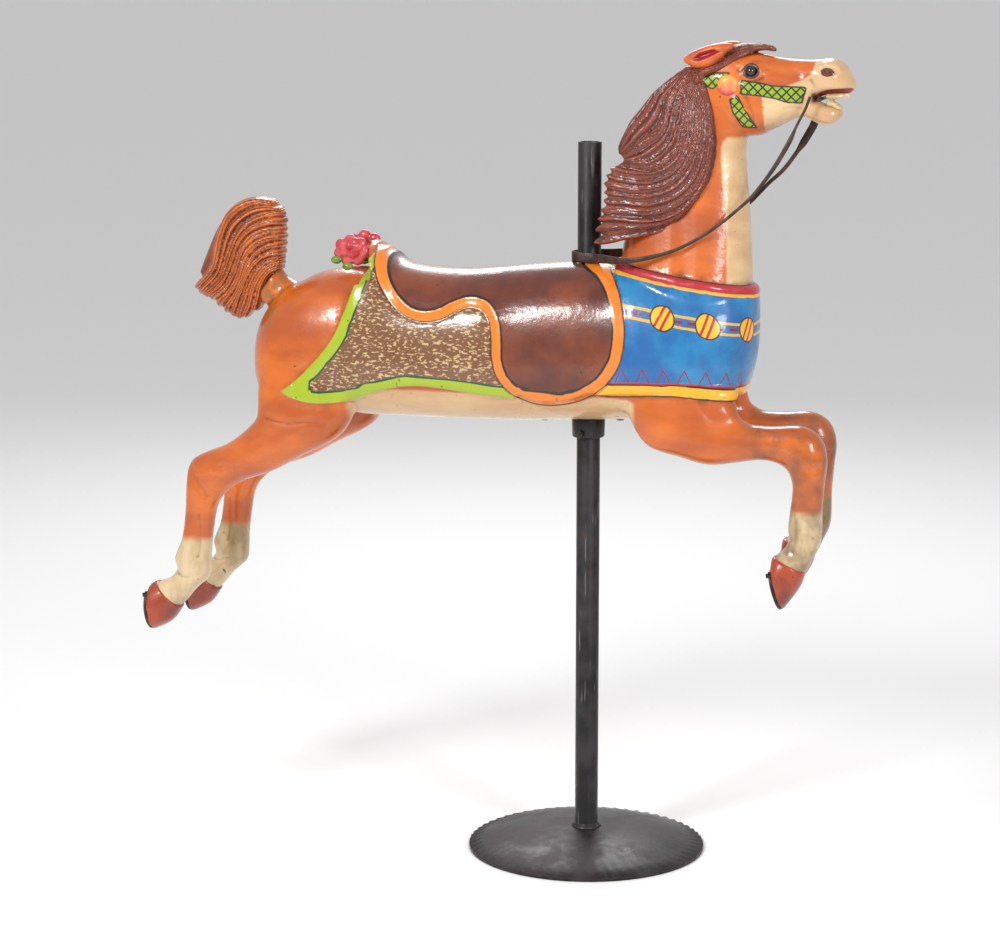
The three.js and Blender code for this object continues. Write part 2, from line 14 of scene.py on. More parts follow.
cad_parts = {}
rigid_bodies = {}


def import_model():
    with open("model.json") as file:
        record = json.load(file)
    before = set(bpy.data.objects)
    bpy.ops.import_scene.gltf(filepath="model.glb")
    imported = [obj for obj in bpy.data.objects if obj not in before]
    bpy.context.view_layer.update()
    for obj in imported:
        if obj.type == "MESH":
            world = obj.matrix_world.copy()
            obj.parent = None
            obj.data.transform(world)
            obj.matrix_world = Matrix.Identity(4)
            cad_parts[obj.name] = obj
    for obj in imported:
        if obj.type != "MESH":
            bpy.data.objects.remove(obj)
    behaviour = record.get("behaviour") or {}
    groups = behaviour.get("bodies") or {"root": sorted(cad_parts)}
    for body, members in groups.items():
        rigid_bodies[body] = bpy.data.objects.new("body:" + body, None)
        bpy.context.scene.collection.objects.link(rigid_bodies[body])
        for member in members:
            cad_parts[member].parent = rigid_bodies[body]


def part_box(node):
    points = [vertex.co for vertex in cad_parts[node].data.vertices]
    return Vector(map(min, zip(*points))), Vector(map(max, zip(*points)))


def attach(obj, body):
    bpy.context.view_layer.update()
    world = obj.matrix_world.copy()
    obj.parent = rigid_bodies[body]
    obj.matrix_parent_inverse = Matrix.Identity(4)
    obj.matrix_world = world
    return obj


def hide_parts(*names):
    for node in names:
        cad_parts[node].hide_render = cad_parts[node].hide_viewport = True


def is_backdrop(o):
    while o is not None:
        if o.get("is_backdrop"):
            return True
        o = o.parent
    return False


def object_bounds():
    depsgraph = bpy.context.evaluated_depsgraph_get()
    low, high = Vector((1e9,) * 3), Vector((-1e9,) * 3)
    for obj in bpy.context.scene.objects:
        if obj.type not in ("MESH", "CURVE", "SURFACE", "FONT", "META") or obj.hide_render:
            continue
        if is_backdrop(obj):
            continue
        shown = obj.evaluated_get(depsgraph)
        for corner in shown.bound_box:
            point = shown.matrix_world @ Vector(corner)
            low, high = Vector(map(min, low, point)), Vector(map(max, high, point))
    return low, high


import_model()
cad_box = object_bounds()
bpy.ops.object.select_all(action="DESELECT")

# The forms below are laid out in millimetres from the axis of the tube and from the floor.
MM = 0.001
tube_low, tube_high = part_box("pole")
TUBE_X = (tube_low.x + tube_high.x) / 2


def placed(points):
    """Millimetres from the tube's axis and the floor, as places in the frame in metres."""
    return np.asarray(points, float).reshape(-1, 3) * MM + (TUBE_X, 0, 0)


# ---------------------------------------------------------------- camera, floor and lights
# A long lens at the height of the horse's eye, looking a little down at its right side.
camera_data = bpy.data.cameras.new("camera")
camera_data.lens = 106.85
camera = bpy.data.objects.new("camera", camera_data)
bpy.context.scene.collection.objects.link(camera)
camera.location = (TUBE_X + 1.2924, -5.4247, 1.779)
camera.rotation_euler = (math.radians(90 - 10.36), 0, math.radians(15.132))
bpy.context.scene.camera = camera

bpy.ops.mesh.primitive_plane_add(size=300)
floor = bpy.context.object
floor.name = "studio_floor"
floor_paint = bpy.data.materials.new("pale_floor")
floor_paint.use_nodes = True
floor_shader = floor_paint.node_tree.nodes["Principled BSDF"]
floor_shader.inputs["Base Color"].default_value = (0.88, 0.88, 0.88, 1)
floor_shader.inputs["Roughness"].default_value = 0.9
floor.data.materials.append(floor_paint)
floor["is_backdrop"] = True

world = bpy.data.worlds.new("studio")
world.use_nodes = True
world.node_tree.nodes["Background"].inputs["Color"].default_value = (1, 1, 1, 1)
world.node_tree.nodes["Background"].inputs["Strength"].default_value = 0.62
bpy.context.scene.world = world
bpy.context.scene.view_settings.view_transform = "Standard"


def softbox(name, place, aim, width, height, watts):
    """A soft area lamp that looks from a place to a point of the horse."""
    data = bpy.data.lights.new(name, "AREA")
    data.shape, data.size, data.size_y, data.energy = "RECTANGLE", width, height, watts
    lamp = bpy.data.objects.new(name, data)
    bpy.context.scene.collection.objects.link(lamp)
    lamp.location = place
    lamp.rotation_euler = (Vector(aim) - Vector(place)).to_track_quat("-Z", "Y").to_euler()


softbox("key", (-1.6, -3.6, 3.4), (0, 0, 1.0), 1.1, 1.1, 125)
softbox("right", (2.9, -2.6, 2.4), (0.2, 0, 1.1), 0.9, 1.4, 60)
softbox("rear", (-0.8, 3.4, 3.2), (0, 0, 1.0), 2.0, 1.4, 60)


# ---------------------------------------------------------------- smooth curves
# Reins, locks of hair and carved forms all follow smooth curves through a few chosen points.
def smooth_rows(rows, steps):
    """Smooth rows of numbers through the given rows, with `steps` parts between two of them."""
    rows = np.asarray(rows, float)
    before = np.vstack([rows[:1], rows[:-2]])
    after = np.vstack([rows[2:], rows[-1:]])
    out = []
    for p0, p1, p2, p3 in zip(before, rows[:-1], rows[1:], after):
        t = (np.arange(steps) / steps)[:, None]
        out.append(0.5 * (2 * p1 + (p2 - p0) * t + (2 * p0 - 5 * p1 + 4 * p2 - p3) * t**2
                          + (3 * p1 - p0 - 3 * p2 + p3) * t**3))
    return np.vstack([*out, rows[-1:]])


def evenly(points, count):
    """Points at even distances along a line."""
    points = np.asarray(points, float)
    along = np.concatenate([[0], np.cumsum(np.linalg.norm(np.diff(points, axis=0), axis=1))])
    at = np.linspace(0, along[-1], count)
    return np.stack([np.interp(at, along, column) for column in points.T], axis=1)


def mesh_object(name, vertices, faces):
    """A new mesh object from points in metres."""
    mesh = bpy.data.meshes.new(name)
    mesh.from_pydata([tuple(v) for v in vertices], [], faces)
    obj = bpy.data.objects.new(name, mesh)
    bpy.context.scene.collection.objects.link(obj)
    return obj


def skin(rings, first=0):
    """(vertices, faces) of a closed skin over rings of points, with its two ends closed."""
    count, sides = len(rings), len(rings[0])
    vertices = np.vstack([*rings, rings[0].mean(0), rings[-1].mean(0)])
    a = np.arange(sides)
    b = (a + 1) % sides
    faces = []
    for r in range(count - 1):
        low, high = r * sides + first, (r + 1) * sides + first
        faces += np.stack([low + a, high + a, high + b, low + b], axis=1).tolist()
    caps = count * sides + first
    faces += np.stack([np.full(sides, caps), first + a, first + b], axis=1).tolist()
    end = (count - 1) * sides + first
    faces += np.stack([np.full(sides, caps + 1), end + b, end + a], axis=1).tolist()
    return vertices, faces


def recalculate_outside(obj):
    """Turns every face of a closed mesh outwards."""
    bpy.ops.object.select_all(action="DESELECT")
    obj.select_set(True)
    bpy.context.view_layer.objects.active = obj
    bpy.ops.object.mode_set(mode="EDIT")
    bpy.ops.mesh.select_all(action="SELECT")
    bpy.ops.mesh.normals_make_consistent(inside=False)
    bpy.ops.object.mode_set(mode="OBJECT")


def apply_modifier(obj, kind, **settings):
    """Adds a modifier with these settings and applies it."""
    modifier = obj.modifiers.new(kind.lower(), kind)
    for name, value in settings.items():
        setattr(modifier, name, value)
    bpy.context.view_layer.objects.active = obj
    bpy.ops.object.modifier_apply(modifier=modifier.name)


# ---------------------------------------------------------------- finishes
# Every finish here is old and uneven: noise on the surface's own places stands for the brush, for
# wear and for dirt, and painted shade darkens the hollows of the painted pieces.
def linear(r, g, b):
    """A colour given as 0-255 display values, for a shader socket."""
    return tuple((v / 255 / 12.92 if v / 255 <= 0.04045 else ((v / 255 + 0.055) / 1.055) ** 2.4)
                 for v in (r, g, b)) + (1.0,)


class Nodes:
    """A small hand for building a node tree on the places it is given."""

    def __init__(self, tree, place):
        self.tree, self.place = tree, place

    def put(self, socket, value):
        if isinstance(value, bpy.types.NodeSocket):
            self.tree.links.new(value, socket)
        else:
            socket.default_value = value

    def math(self, kind, a, b=0.0, c=0.0):
        node = self.tree.nodes.new("ShaderNodeMath")
        node.operation = kind
        for socket, value in zip(node.inputs, (a, b, c)):
            self.put(socket, value)
        return node.outputs[0]

    def plus(self, a, b):
        return self.math("ADD", a, b)

    def minus(self, a, b):
        return self.math("SUBTRACT", a, b)

    def times(self, a, b):
        return self.math("MULTIPLY", a, b)

    def repeat(self, value, length):
        return self.math("MODULO", value, length)

    def size_of(self, value):
        return self.math("ABSOLUTE", value)

    def value(self, name):
        node = self.tree.nodes.new("ShaderNodeAttribute")
        node.attribute_name = name
        return node.outputs["Fac"]

    def noise(self, scale, detail=3.0, stretch=(1, 1, 1), rough=0.55):
        mapping = self.tree.nodes.new("ShaderNodeMapping")
        mapping.inputs["Scale"].default_value = stretch
        self.put(mapping.inputs["Vector"], self.place)
        node = self.tree.nodes.new("ShaderNodeTexNoise")
        self.put(node.inputs["Vector"], mapping.outputs[0])
        node.inputs["Scale"].default_value = scale
        node.inputs["Detail"].default_value = detail
        node.inputs["Roughness"].default_value = rough
        return node.outputs["Fac"]

    def step(self, value, low, high, out_low=0.0, out_high=1.0):
        node = self.tree.nodes.new("ShaderNodeMapRange")
        node.interpolation_type = "SMOOTHSTEP"
        for socket, part in zip(node.inputs, (value, low, high, out_low, out_high)):
            self.put(socket, part)
        return node.outputs[0]

    def mix(self, share, a, b, kind="MIX"):
        node = self.tree.nodes.new("ShaderNodeMix")
        node.data_type = "RGBA"
        node.blend_type = kind
        self.put(node.inputs[0], share)
        self.put(node.inputs[6], a)
        self.put(node.inputs[7], b)
        return node.outputs[2]

    def both(self, *parts):
        total = parts[0]
        for part in parts[1:]:
            total = self.math("MULTIPLY", total, part)
        return total

    def band(self, value, low, high, soft=0.7):
        return self.both(self.step(value, low - soft, low + soft),
                         self.step(value, high + soft, high - soft))

    def split(self):
        node = self.tree.nodes.new("ShaderNodeSeparateXYZ")
        self.put(node.inputs[0], self.place)
        return [self.math("MULTIPLY", part, 1000.0) for part in node.outputs]


class Finish(Nodes):
    """The node tree of one material, on the piece's own places."""

    def __init__(self, name, metallic=0.0, coat=0.0):
        self.material = bpy.data.materials.new(name)
        self.material.use_nodes = True
        tree = self.material.node_tree
        super().__init__(tree, tree.nodes.new("ShaderNodeTexCoord").outputs["Object"])
        self.shader = next(n for n in tree.nodes if n.type == "BSDF_PRINCIPLED")
        self.shader.inputs["Metallic"].default_value = metallic
        self.shader.inputs["Coat Weight"].default_value = coat
        self.shader.inputs["Coat Roughness"].default_value = 0.12

    def finish(self, colour, roughness, height=None, depth=0.001, strength=0.5):
        self.put(self.shader.inputs["Base Color"], colour)
        self.put(self.shader.inputs["Roughness"], roughness)
        if height is not None:
            bump = self.tree.nodes.new("ShaderNodeBump")
            bump.inputs["Strength"].default_value = strength
            bump.inputs["Distance"].default_value = depth
            self.put(bump.inputs["Height"], height)
            self.tree.links.new(bump.outputs[0], self.shader.inputs["Normal"])
            self.tree.links.new(bump.outputs[0], self.shader.inputs["Coat Normal"])
        return self.material


def give(obj, material):
    """The piece's one material, on smooth faces."""
    obj.data.materials.clear()
    obj.data.materials.append(material)
    for polygon in obj.data.polygons:
        polygon.use_smooth = True


# ---------------------------------------------------------------- rein
# A leather strap, 20 mm wide where it goes round the tube and cut down to a narrow rein along
# the neck. It is one length, tied to one end of the bit, round the tube and to the other end.
REIN_RIGHT = [
    [421, -47, 1463], [413, -50, 1440], [399, -52, 1412], [384, -54, 1378], [358, -60, 1332],
    [325, -70, 1286], [290, -79, 1252], [258, -84, 1226], [224, -88, 1203], [184, -92, 1182],
    [140, -95, 1168], [96, -93, 1160], [50, -64, 1157], [20, -39, 1156],
]
REIN_BACK = [
    [-12, -29, 1156], [-28, -15, 1156], [-31, 0, 1156], [-28, 15, 1156], [-12, 29, 1156],
]
REIN_LEFT = [
    [20, 39, 1156], [50, 64, 1157], [96, 93, 1160], [140, 95, 1168], [184, 92, 1182],
    [224, 88, 1204], [258, 83, 1229], [294, 76, 1260], [328, 68, 1295], [358, 60, 1323],
    [387, 54, 1362], [404, 50, 1389], [415, 48, 1410], [422, 46, 1438], [424, 46, 1462],
]
# share of the way from the right end to the left end, and the strap's width and thickness there
REIN_WIDTHS = [
    [0.00, 5, 3.4], [0.05, 5, 3.4], [0.065, 9, 4], [0.11, 8, 3], [0.17, 6, 3], [0.30, 6, 3],
    [0.38, 11, 3], [0.45, 19, 3], [0.55, 20, 3], [0.62, 12, 3], [0.70, 7, 3], [0.84, 7, 3],
    [0.91, 8, 3], [0.925, 14, 4], [0.975, 15, 4.5], [0.985, 6, 4], [1.0, 6, 4],
]
rein_line = evenly(smooth_rows(placed(REIN_RIGHT + REIN_BACK + REIN_LEFT), 12), 420)
rein_share = np.linspace(0, 1, len(rein_line))
rein_width, rein_thickness = (
    np.interp(rein_share, *np.array(REIN_WIDTHS).T[[0, column]]) * MM for column in (1, 2)
)
rein_ahead = np.gradient(rein_line, axis=0)
rein_ahead /= np.linalg.norm(rein_ahead, axis=1, keepdims=True)
rein_upright = np.cross(rein_ahead, np.cross((0, 0, 1), rein_ahead))
steep = np.linalg.norm(rein_upright, axis=1) < 0.2
rein_upright[steep] = (1, 0, 0)
rein_upright /= np.linalg.norm(rein_upright, axis=1, keepdims=True)
rein_outward = np.cross(rein_ahead, rein_upright)
STRAP_SECTION = [(-0.5, -0.3), (-0.46, -0.5), (0, -0.54), (0.46, -0.5), (0.5, -0.3),
                 (0.5, 0.3), (0.46, 0.5), (0, 0.54), (-0.46, 0.5), (-0.5, 0.3)]
rein_rings = [
    p + np.array([up * w * a + out * t * b for a, b in STRAP_SECTION])
    for p, up, out, w, t in zip(rein_line, rein_upright, rein_outward, rein_width, rein_thickness)
]
rein = mesh_object("rein", *skin(rein_rings))
recalculate_outside(rein)
n = Finish("old leather")
crack = n.noise(70.0, 5.0)
colour = n.mix(n.step(crack, 0.35, 0.7), linear(34, 20, 17), linear(74, 46, 36))
give(rein, n.finish(colour, n.step(n.noise(30.0, 4.0), 0.3, 0.7, 0.35, 0.62), n.noise(150.0, 4.0),
                    0.0012, 0.7))
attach(rein, "root")
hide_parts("rein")

# ---------------------------------------------------------------- the carved horse
# One body of glued and carved wood: torso with saddle, neck, head, mane, tail, legs and hooves.
# Each form is a skin over oval sections; the forms of each part are melted into one solid, and the
# parts are then joined into one mesh.
# A section is [top or back point, low or front point, half width, y of its middle if any].
TORSO = [
    [[-656, 975], [-656, 930], 20], [[-645, 1022], [-648, 880], 70],
    [[-612, 1066], [-620, 848], 106], [[-570, 1092], [-570, 842], 121],
    [[-520, 1114], [-520, 840], 128], [[-455, 1123], [-455, 841], 130],
    [[-360, 1115], [-360, 840], 128], [[-240, 1113], [-240, 840], 126],
    [[-120, 1124], [-120, 842], 125], [[0, 1134], [0, 848], 125], [[100, 1143], [100, 850], 125],
    [[190, 1142], [190, 852], 121], [[240, 1132], [240, 868], 113], [[278, 1122], [276, 886], 98],
    [[302, 1116], [294, 905], 76], [[315, 1110], [310, 945], 48], [[320, 1090], [319, 985], 20],
]
SEAT = [
    [[-446, 1156], [-446, 838], 126], [[-430, 1176], [-430, 838], 127],
    [[-407, 1168], [-407, 838], 128], [[-384, 1144], [-384, 838], 128],
    [[-345, 1125], [-345, 838], 127], [[-240, 1119], [-240, 838], 126],
    [[-120, 1131], [-120, 840], 125], [[0, 1141], [0, 846], 125], [[60, 1140], [60, 848], 124],
]
NECK = [
    [[70, 1040], [305, 1040], 96], [[62, 1120], [311, 1112], 94], [[66, 1175], [309, 1175], 84],
    [[80, 1240], [306, 1236], 72], [[98, 1300], [301, 1296], 63], [[118, 1360], [296, 1356], 56],
    [[145, 1425], [300, 1405], 52], [[170, 1475], [292, 1440], 49],
    [[198, 1518], [282, 1480], 42], [[225, 1540], [268, 1512], 26],
]
HEAD = [
    [[205, 1500], [222, 1440], 30], [[222, 1530], [250, 1405], 46],
    [[255, 1543], [285, 1390], 52], [[292, 1543], [322, 1388], 53],
    [[328, 1538], [350, 1400], 48], [[362, 1531], [375, 1413], 41],
    [[398, 1528], [403, 1430], 36], [[425, 1528], [425, 1458], 34],
    [[450, 1531], [449, 1464], 36], [[470, 1527], [470, 1465], 34],
    [[485, 1512], [484, 1466], 27], [[497, 1490], [497, 1476], 12],
]
LOWER_JAW = [
    [[370, 1450], [372, 1415], 26], [[404, 1453], [404, 1424], 28],
    [[430, 1451], [424, 1414], 28], [[456, 1446], [450, 1409], 26],
    [[470, 1439], [466, 1418], 19], [[476, 1434], [475, 1426], 8],
]
UPPER_TEETH = [
    [[446, 1468], [446, 1457], 26], [[470, 1469], [470, 1458], 25],
    [[488, 1470], [488, 1461], 13],
]
LOWER_TEETH = [
    [[446, 1456], [446, 1444], 21], [[464, 1451], [462, 1438], 18], [[475, 1443], [473, 1434], 9],
]
MANE_FILL = [
    [[190, 1508], [208, 1482], 12, -34], [[152, 1472], [222, 1402], 20, -40],
    [[118, 1436], [214, 1304], 24, -50], [[98, 1400], [186, 1256], 26, -56],
    [[86, 1360], [126, 1218], 25, -58], [[72, 1330], [84, 1195], 20, -58],
]
FAR_FILL = [
    [[190, 1506], [206, 1486], 12, 16], [[154, 1470], [208, 1420], 20, 22],
    [[118, 1432], [192, 1352], 23, 28], [[96, 1388], [168, 1296], 24, 32],
    [[86, 1336], [124, 1250], 22, 36], [[76, 1296], [84, 1222], 16, 38],
]
TAIL_FILL = [
    [[-618, 1222], [-624, 1106], 22], [[-645, 1245], [-642, 1094], 27],
    [[-700, 1240], [-656, 1078], 29], [[-738, 1198], [-668, 1060], 28],
    [[-762, 1150], [-674, 1048], 26], [[-782, 1102], [-684, 1038], 20],
]
TAIL_DOCK = [
    [[-570, 1086], [-600, 1030], 30], [[-598, 1096], [-636, 1040], 29],
    [[-616, 1118], [-664, 1050], 30],
]
LEG_Y = 85
FAR_HIND_STEP = 17
FORE_LEG = [
    [[130, 960], [250, 940], 30, 73], [[88, 905], [290, 928], 38, 77],
    [[104, 852], [298, 903], 42, 81], [[136, 812], [303, 882], 43, 83],
    [[196, 795], [308, 873], 43, 84], [[250, 783], [318, 866], 41, LEG_Y],
    [[300, 789], [332, 861], 37, LEG_Y], [[350, 797], [368, 860], 34, LEG_Y],
    [[384, 790], [424, 863], 34, LEG_Y], [[400, 777], [459, 843], 36, LEG_Y],
    [[408, 755], [472, 805], 34, LEG_Y], [[408, 735], [469, 765], 30, LEG_Y],
    [[404, 700], [465, 710], 26, LEG_Y], [[401, 668], [465, 668], 28, LEG_Y],
    [[404, 648], [462, 642], 31, LEG_Y], [[392, 629], [450, 616], 29, LEG_Y],
    [[380, 618], [440, 594], 31, LEG_Y], [[376, 596], [424, 574], 28, LEG_Y],
]
FORE_HOOF = [
    [[376, 618], [437, 592], 33, LEG_Y], [[372, 611], [426, 560], 38, LEG_Y],
    [[371, 600], [395, 516], 41, LEG_Y],
]
HIND_LEG = [
    [[-600, 1050], [-470, 1050], 30, 65], [[-622, 985], [-440, 985], 44, 73],
    [[-634, 905], [-432, 905], 50, 77], [[-636, 852], [-440, 856], 51, 80],
    [[-640, 830], [-472, 804], 49, 82], [[-670, 800], [-545, 763], 46, LEG_Y],
    [[-704, 777], [-604, 731], 42, LEG_Y], [[-742, 762], [-668, 707], 36, LEG_Y],
    [[-774, 742], [-704, 682], 33, LEG_Y], [[-784, 700], [-722, 655], 29, LEG_Y],
    [[-788, 640], [-731, 612], 25, LEG_Y], [[-796, 588], [-736, 570], 25, LEG_Y],
    [[-811, 550], [-738, 538], 30, LEG_Y], [[-806, 526], [-742, 512], 30, LEG_Y],
    [[-824, 506], [-768, 488], 29, LEG_Y], [[-846, 498], [-798, 454], 32, LEG_Y],
    [[-856, 480], [-818, 446], 28, LEG_Y],
]
HIND_HOOF = [
    [[-848, 499], [-798, 450], 34, LEG_Y], [[-857, 496], [-820, 420], 39, LEG_Y],
    [[-864, 490], [-856, 401], 42, LEG_Y],
]


def form(stations, sides=48, steps=6, power=2.2, egg=0.0, side=1, step=0):
    """The rings of a carved form, in millimetres."""
    rows = smooth_rows([[a[0] + step, a[1], b[0] + step, b[1], w, side * (more[0] if more else 0)]
                        for a, b, w, *more in stations], steps)
    angle = 2 * np.pi * np.arange(sides) / sides
    c, s = (np.sign(f(angle)) * np.abs(f(angle)) ** (2 / power) for f in (np.cos, np.sin))
    rings = []
    for ax, az, bx, bz, w, y in rows:
        rings.append(np.stack([(ax + bx) / 2 + (ax - bx) / 2 * c, y + w * s * (1 + egg * c),
                               (az + bz) / 2 + (az - bz) / 2 * c], axis=1))
    return rings


def egg(centre, radii, sides=24):
    """The rings of an egg-shaped bump, in millimetres."""
    rise = np.linspace(-0.98, 0.98, 13) * np.pi / 2
    angle = 2 * np.pi * np.arange(sides) / sides
    return [np.stack([centre[0] + radii[0] * np.cos(r) * np.cos(angle),
                      centre[1] + radii[1] * np.cos(r) * np.sin(angle),
                      np.full(sides, centre[2] + radii[2] * np.sin(r))], axis=1) for r in rise]


def joined(name, forms, voxel, smoothing):
    """Melts closed forms into one solid of wood and softens it."""
    vertices, faces, first = [], [], 0
    for rings in forms:
        v, f = skin(rings, first)
        vertices.append(placed(v))
        faces += f
        first += len(v)
    obj = mesh_object(name, np.vstack(vertices), faces)
    recalculate_outside(obj)
    apply_modifier(obj, "REMESH", mode="VOXEL", voxel_size=voxel, use_smooth_shade=True)
    if smoothing:
        apply_modifier(obj, "SMOOTH", factor=0.5, iterations=smoothing)
    return obj


def surface_of(obj):
    """(points, faces) of a mesh object."""
    points = np.empty(len(obj.data.vertices) * 3, np.float32)
    obj.data.vertices.foreach_get("co", points)
    return points.reshape(-1, 3), [tuple(p.vertices) for p in obj.data.polygons]


# the cantle's back face leans forward along the saddle's edge
seat_rings = form(SEAT, power=2.3, egg=-0.05)
for ring in seat_rings:
    high = ring[:, 2] > 1100
    ring[high, 0] = np.maximum(ring[high, 0], -440 + (1200 - ring[high, 2]) * 0.486)
legs = [(FORE_LEG, FORE_HOOF, -1, 0), (FORE_LEG, FORE_HOOF, 1, -9),
        (HIND_LEG, HIND_HOOF, -1, 0), (HIND_LEG, HIND_HOOF, 1, FAR_HIND_STEP)]
body_forms = [
    form(TORSO, power=2.3, egg=-0.05), seat_rings, form(NECK, egg=-0.08),
    form(HEAD, power=2.5), form(LOWER_JAW, power=2.5), form(TAIL_DOCK),
    *[form(leg, 32, side=side, step=step) for leg, _, side, step in legs],
]
for side in (-1, 1):
    body_forms += [egg((312, side * 40, 1507), (25, 13, 17)),
                   egg((455, side * 30, 1506), (24, 10, 17))]
body = joined("body", body_forms, 0.0045, 9)


# ---- hair: locks that lie side by side between guide lines [x, z] combed from root to tip ----
MANE_GUIDES = [
    [[199, 1517], [163, 1488], [131, 1461], [109, 1434], [93, 1412], [84, 1390], [76, 1367],
     [76, 1349]],
    [[202, 1516], [181, 1484], [163, 1453], [157, 1424], [146, 1400], [121, 1379], [98, 1362],
     [80, 1346]],
    [[204, 1515], [190, 1473], [185, 1436], [180, 1396], [166, 1369], [146, 1349], [117, 1335],
     [80, 1334]],
    [[208, 1515], [199, 1473], [200, 1429], [198, 1392], [187, 1356], [164, 1333], [133, 1322],
     [87, 1325], [57, 1330]],
    [[210, 1515], [210, 1473], [215, 1429], [213, 1392], [205, 1352], [185, 1320], [156, 1300],
     [115, 1292], [76, 1296], [44, 1302]],
    [[212, 1515], [217, 1480], [224, 1436], [226, 1392], [221, 1348], [208, 1312], [179, 1283],
     [133, 1268], [87, 1269], [44, 1268]],
    [[214, 1515], [222, 1473], [231, 1430], [235, 1386], [230, 1341], [219, 1301], [192, 1263],
     [156, 1242], [111, 1236], [65, 1237], [30, 1232]],
    [[215, 1514], [224, 1474], [233, 1430], [240, 1375], [237, 1335], [224, 1290], [202, 1254],
     [161, 1224], [111, 1207], [65, 1192], [21, 1177]],
]
FAR_GUIDES = [
    [[194, 1512], [156, 1482], [116, 1444], [92, 1400], [80, 1350], [68, 1300], [58, 1262]],
    [[200, 1502], [180, 1455], [155, 1400], [130, 1345], [105, 1295], [80, 1255], [62, 1240]],
    [[208, 1490], [212, 1420], [200, 1350], [176, 1292], [130, 1240], [84, 1208], [60, 1205]],
]
TAIL_GUIDES = [
    [[-611, 1113], [-630, 1102], [-642, 1080], [-648, 1058], [-654, 1040]],
    [[-607, 1126], [-632, 1118], [-649, 1101], [-663, 1074], [-673, 1041], [-690, 1012]],
    [[-606, 1142], [-635, 1137], [-656, 1121], [-671, 1097], [-682, 1072], [-695, 1041],
     [-707, 1014]],
    [[-603, 1167], [-631, 1162], [-656, 1147], [-673, 1124], [-685, 1093], [-701, 1064],
     [-718, 1043], [-732, 1026]],
    [[-601, 1190], [-629, 1189], [-661, 1177], [-682, 1157], [-694, 1128], [-706, 1099],
     [-723, 1074], [-748, 1057], [-758, 1048]],
    [[-602, 1218], [-628, 1217], [-662, 1206], [-689, 1182], [-705, 1149], [-717, 1117],
     [-732, 1088], [-757, 1067], [-775, 1055]],
    [[-610, 1233], [-639, 1238], [-673, 1229], [-704, 1206], [-721, 1170], [-729, 1138],
     [-739, 1109], [-761, 1085], [-788, 1064]],
    [[-627, 1248], [-658, 1252], [-692, 1244], [-719, 1222], [-736, 1191], [-746, 1159],
     [-752, 1127], [-770, 1097], [-797, 1075]],
]
FORELOCK_GUIDES = [
    [[213, 1494, -44], [247, 1506, -46], [280, 1526, -40], [303, 1540, -30]],
    [[212, 1508, -40], [246, 1525, -39], [286, 1542, -28], [314, 1549, -18], [337, 1548, -10]],
    [[224, 1519, -25], [255, 1539, -22], [286, 1549, -14], [325, 1550, -8], [352, 1544, -3]],
    [[234, 1524, 0], [264, 1545, 0], [296, 1551, 0], [328, 1551, 0], [352, 1545, 0]],
    [[224, 1519, 25], [255, 1539, 22], [286, 1549, 14], [325, 1550, 8], [352, 1544, 3]],
    [[212, 1508, 40], [246, 1525, 39], [286, 1542, 28], [314, 1549, 18], [337, 1548, 10]],
    [[213, 1494, 44], [247, 1506, 46], [280, 1526, 40], [303, 1540, 30]],
]
COMB = 240
ALONG = 61


def combed(guides, depth=None):
    """Points [x, y, z] of a mass of hair, over its width and from root to tip."""
    lines = [evenly(smooth_rows(guide, 6), ALONG) for guide in guides]
    grid = smooth_rows(np.array(lines).reshape(len(lines), -1), 60)
    grid = grid[np.linspace(0, len(grid) - 1, COMB + 1).round().astype(int)]
    grid = grid.reshape(COMB + 1, ALONG, -1)
    if depth is not None:
        across, along = np.meshgrid(np.linspace(0, 1, COMB + 1), np.linspace(0, 1, ALONG),
                                    indexing="ij")
        grid = np.dstack([grid, depth(across, along)])
    return grid[:, :, [0, 2, 1]]


def locks(grid, cuts, thick, groove, strands):
    """The rings of each lock of a mass of hair, one between each two cuts across its width."""
    made = []
    angle = 2 * np.pi * np.arange(36) / 36
    c, s = (np.sign(f(angle)) * np.abs(f(angle)) ** 0.85 for f in (np.cos, np.sin))
    for low, high in zip(cuts[:-1], cuts[1:]):
        a, b = grid[int(low * COMB)], grid[int(high * COMB)]
        middle, half = (a + b) / 2, (b - a) / 2
        ahead = np.gradient(middle, axis=0)
        ahead /= np.linalg.norm(ahead, axis=1, keepdims=True)
        half -= (half * ahead).sum(1, keepdims=True) * ahead
        wide = np.maximum(np.linalg.norm(half, axis=1), 2.5)
        across = half / np.maximum(np.linalg.norm(half, axis=1, keepdims=True), 1e-6)
        normal = np.cross(ahead, across)
        share = np.linspace(0, 1, ALONG)
        tip = np.sqrt(np.clip(1 - ((share - 0.9) / 0.1).clip(0) ** 2, 0.02, 1))
        root = np.sqrt(np.clip(1 - ((0.06 - share) / 0.06).clip(0) ** 2, 0.05, 1))
        rings = []
        for i in range(ALONG):
            comb = 0.5 - 0.5 * np.cos(2 * np.pi * strands * (c + 1) / 2)
            ridge = 1 - groove * comb * min(1, wide[i] / 8)
            size = tip[i] * root[i]
            depth = thick(share[i]) * size * (1.12 if int(low * 100) % 2 else 0.9)
            rings.append(middle[i] + np.outer(c * wide[i] * 1.05 * size, across[i])
                         + np.outer(s * depth * ridge, normal[i]))
        made.append(rings)
    return made


def mane_depth(across, along):
    """y of the middle of the locks: close to the neck at the poll, full over its middle."""
    edge = np.interp(along, [0, 0.15, 0.5, 0.8, 1], [32, 42, 50, 62, 56])
    return -(edge + 22 * np.sin(np.pi * across) ** 0.8 * np.clip(along / 0.4, 0, 1))


def far_depth(across, along):
    """y of the middle of the locks on the left side, which is carved plainer."""
    return np.interp(along, [0, 0.15, 0.5, 0.8, 1],
                     [28, 38, 46, 50, 52]) + 8 * np.sin(np.pi * across)


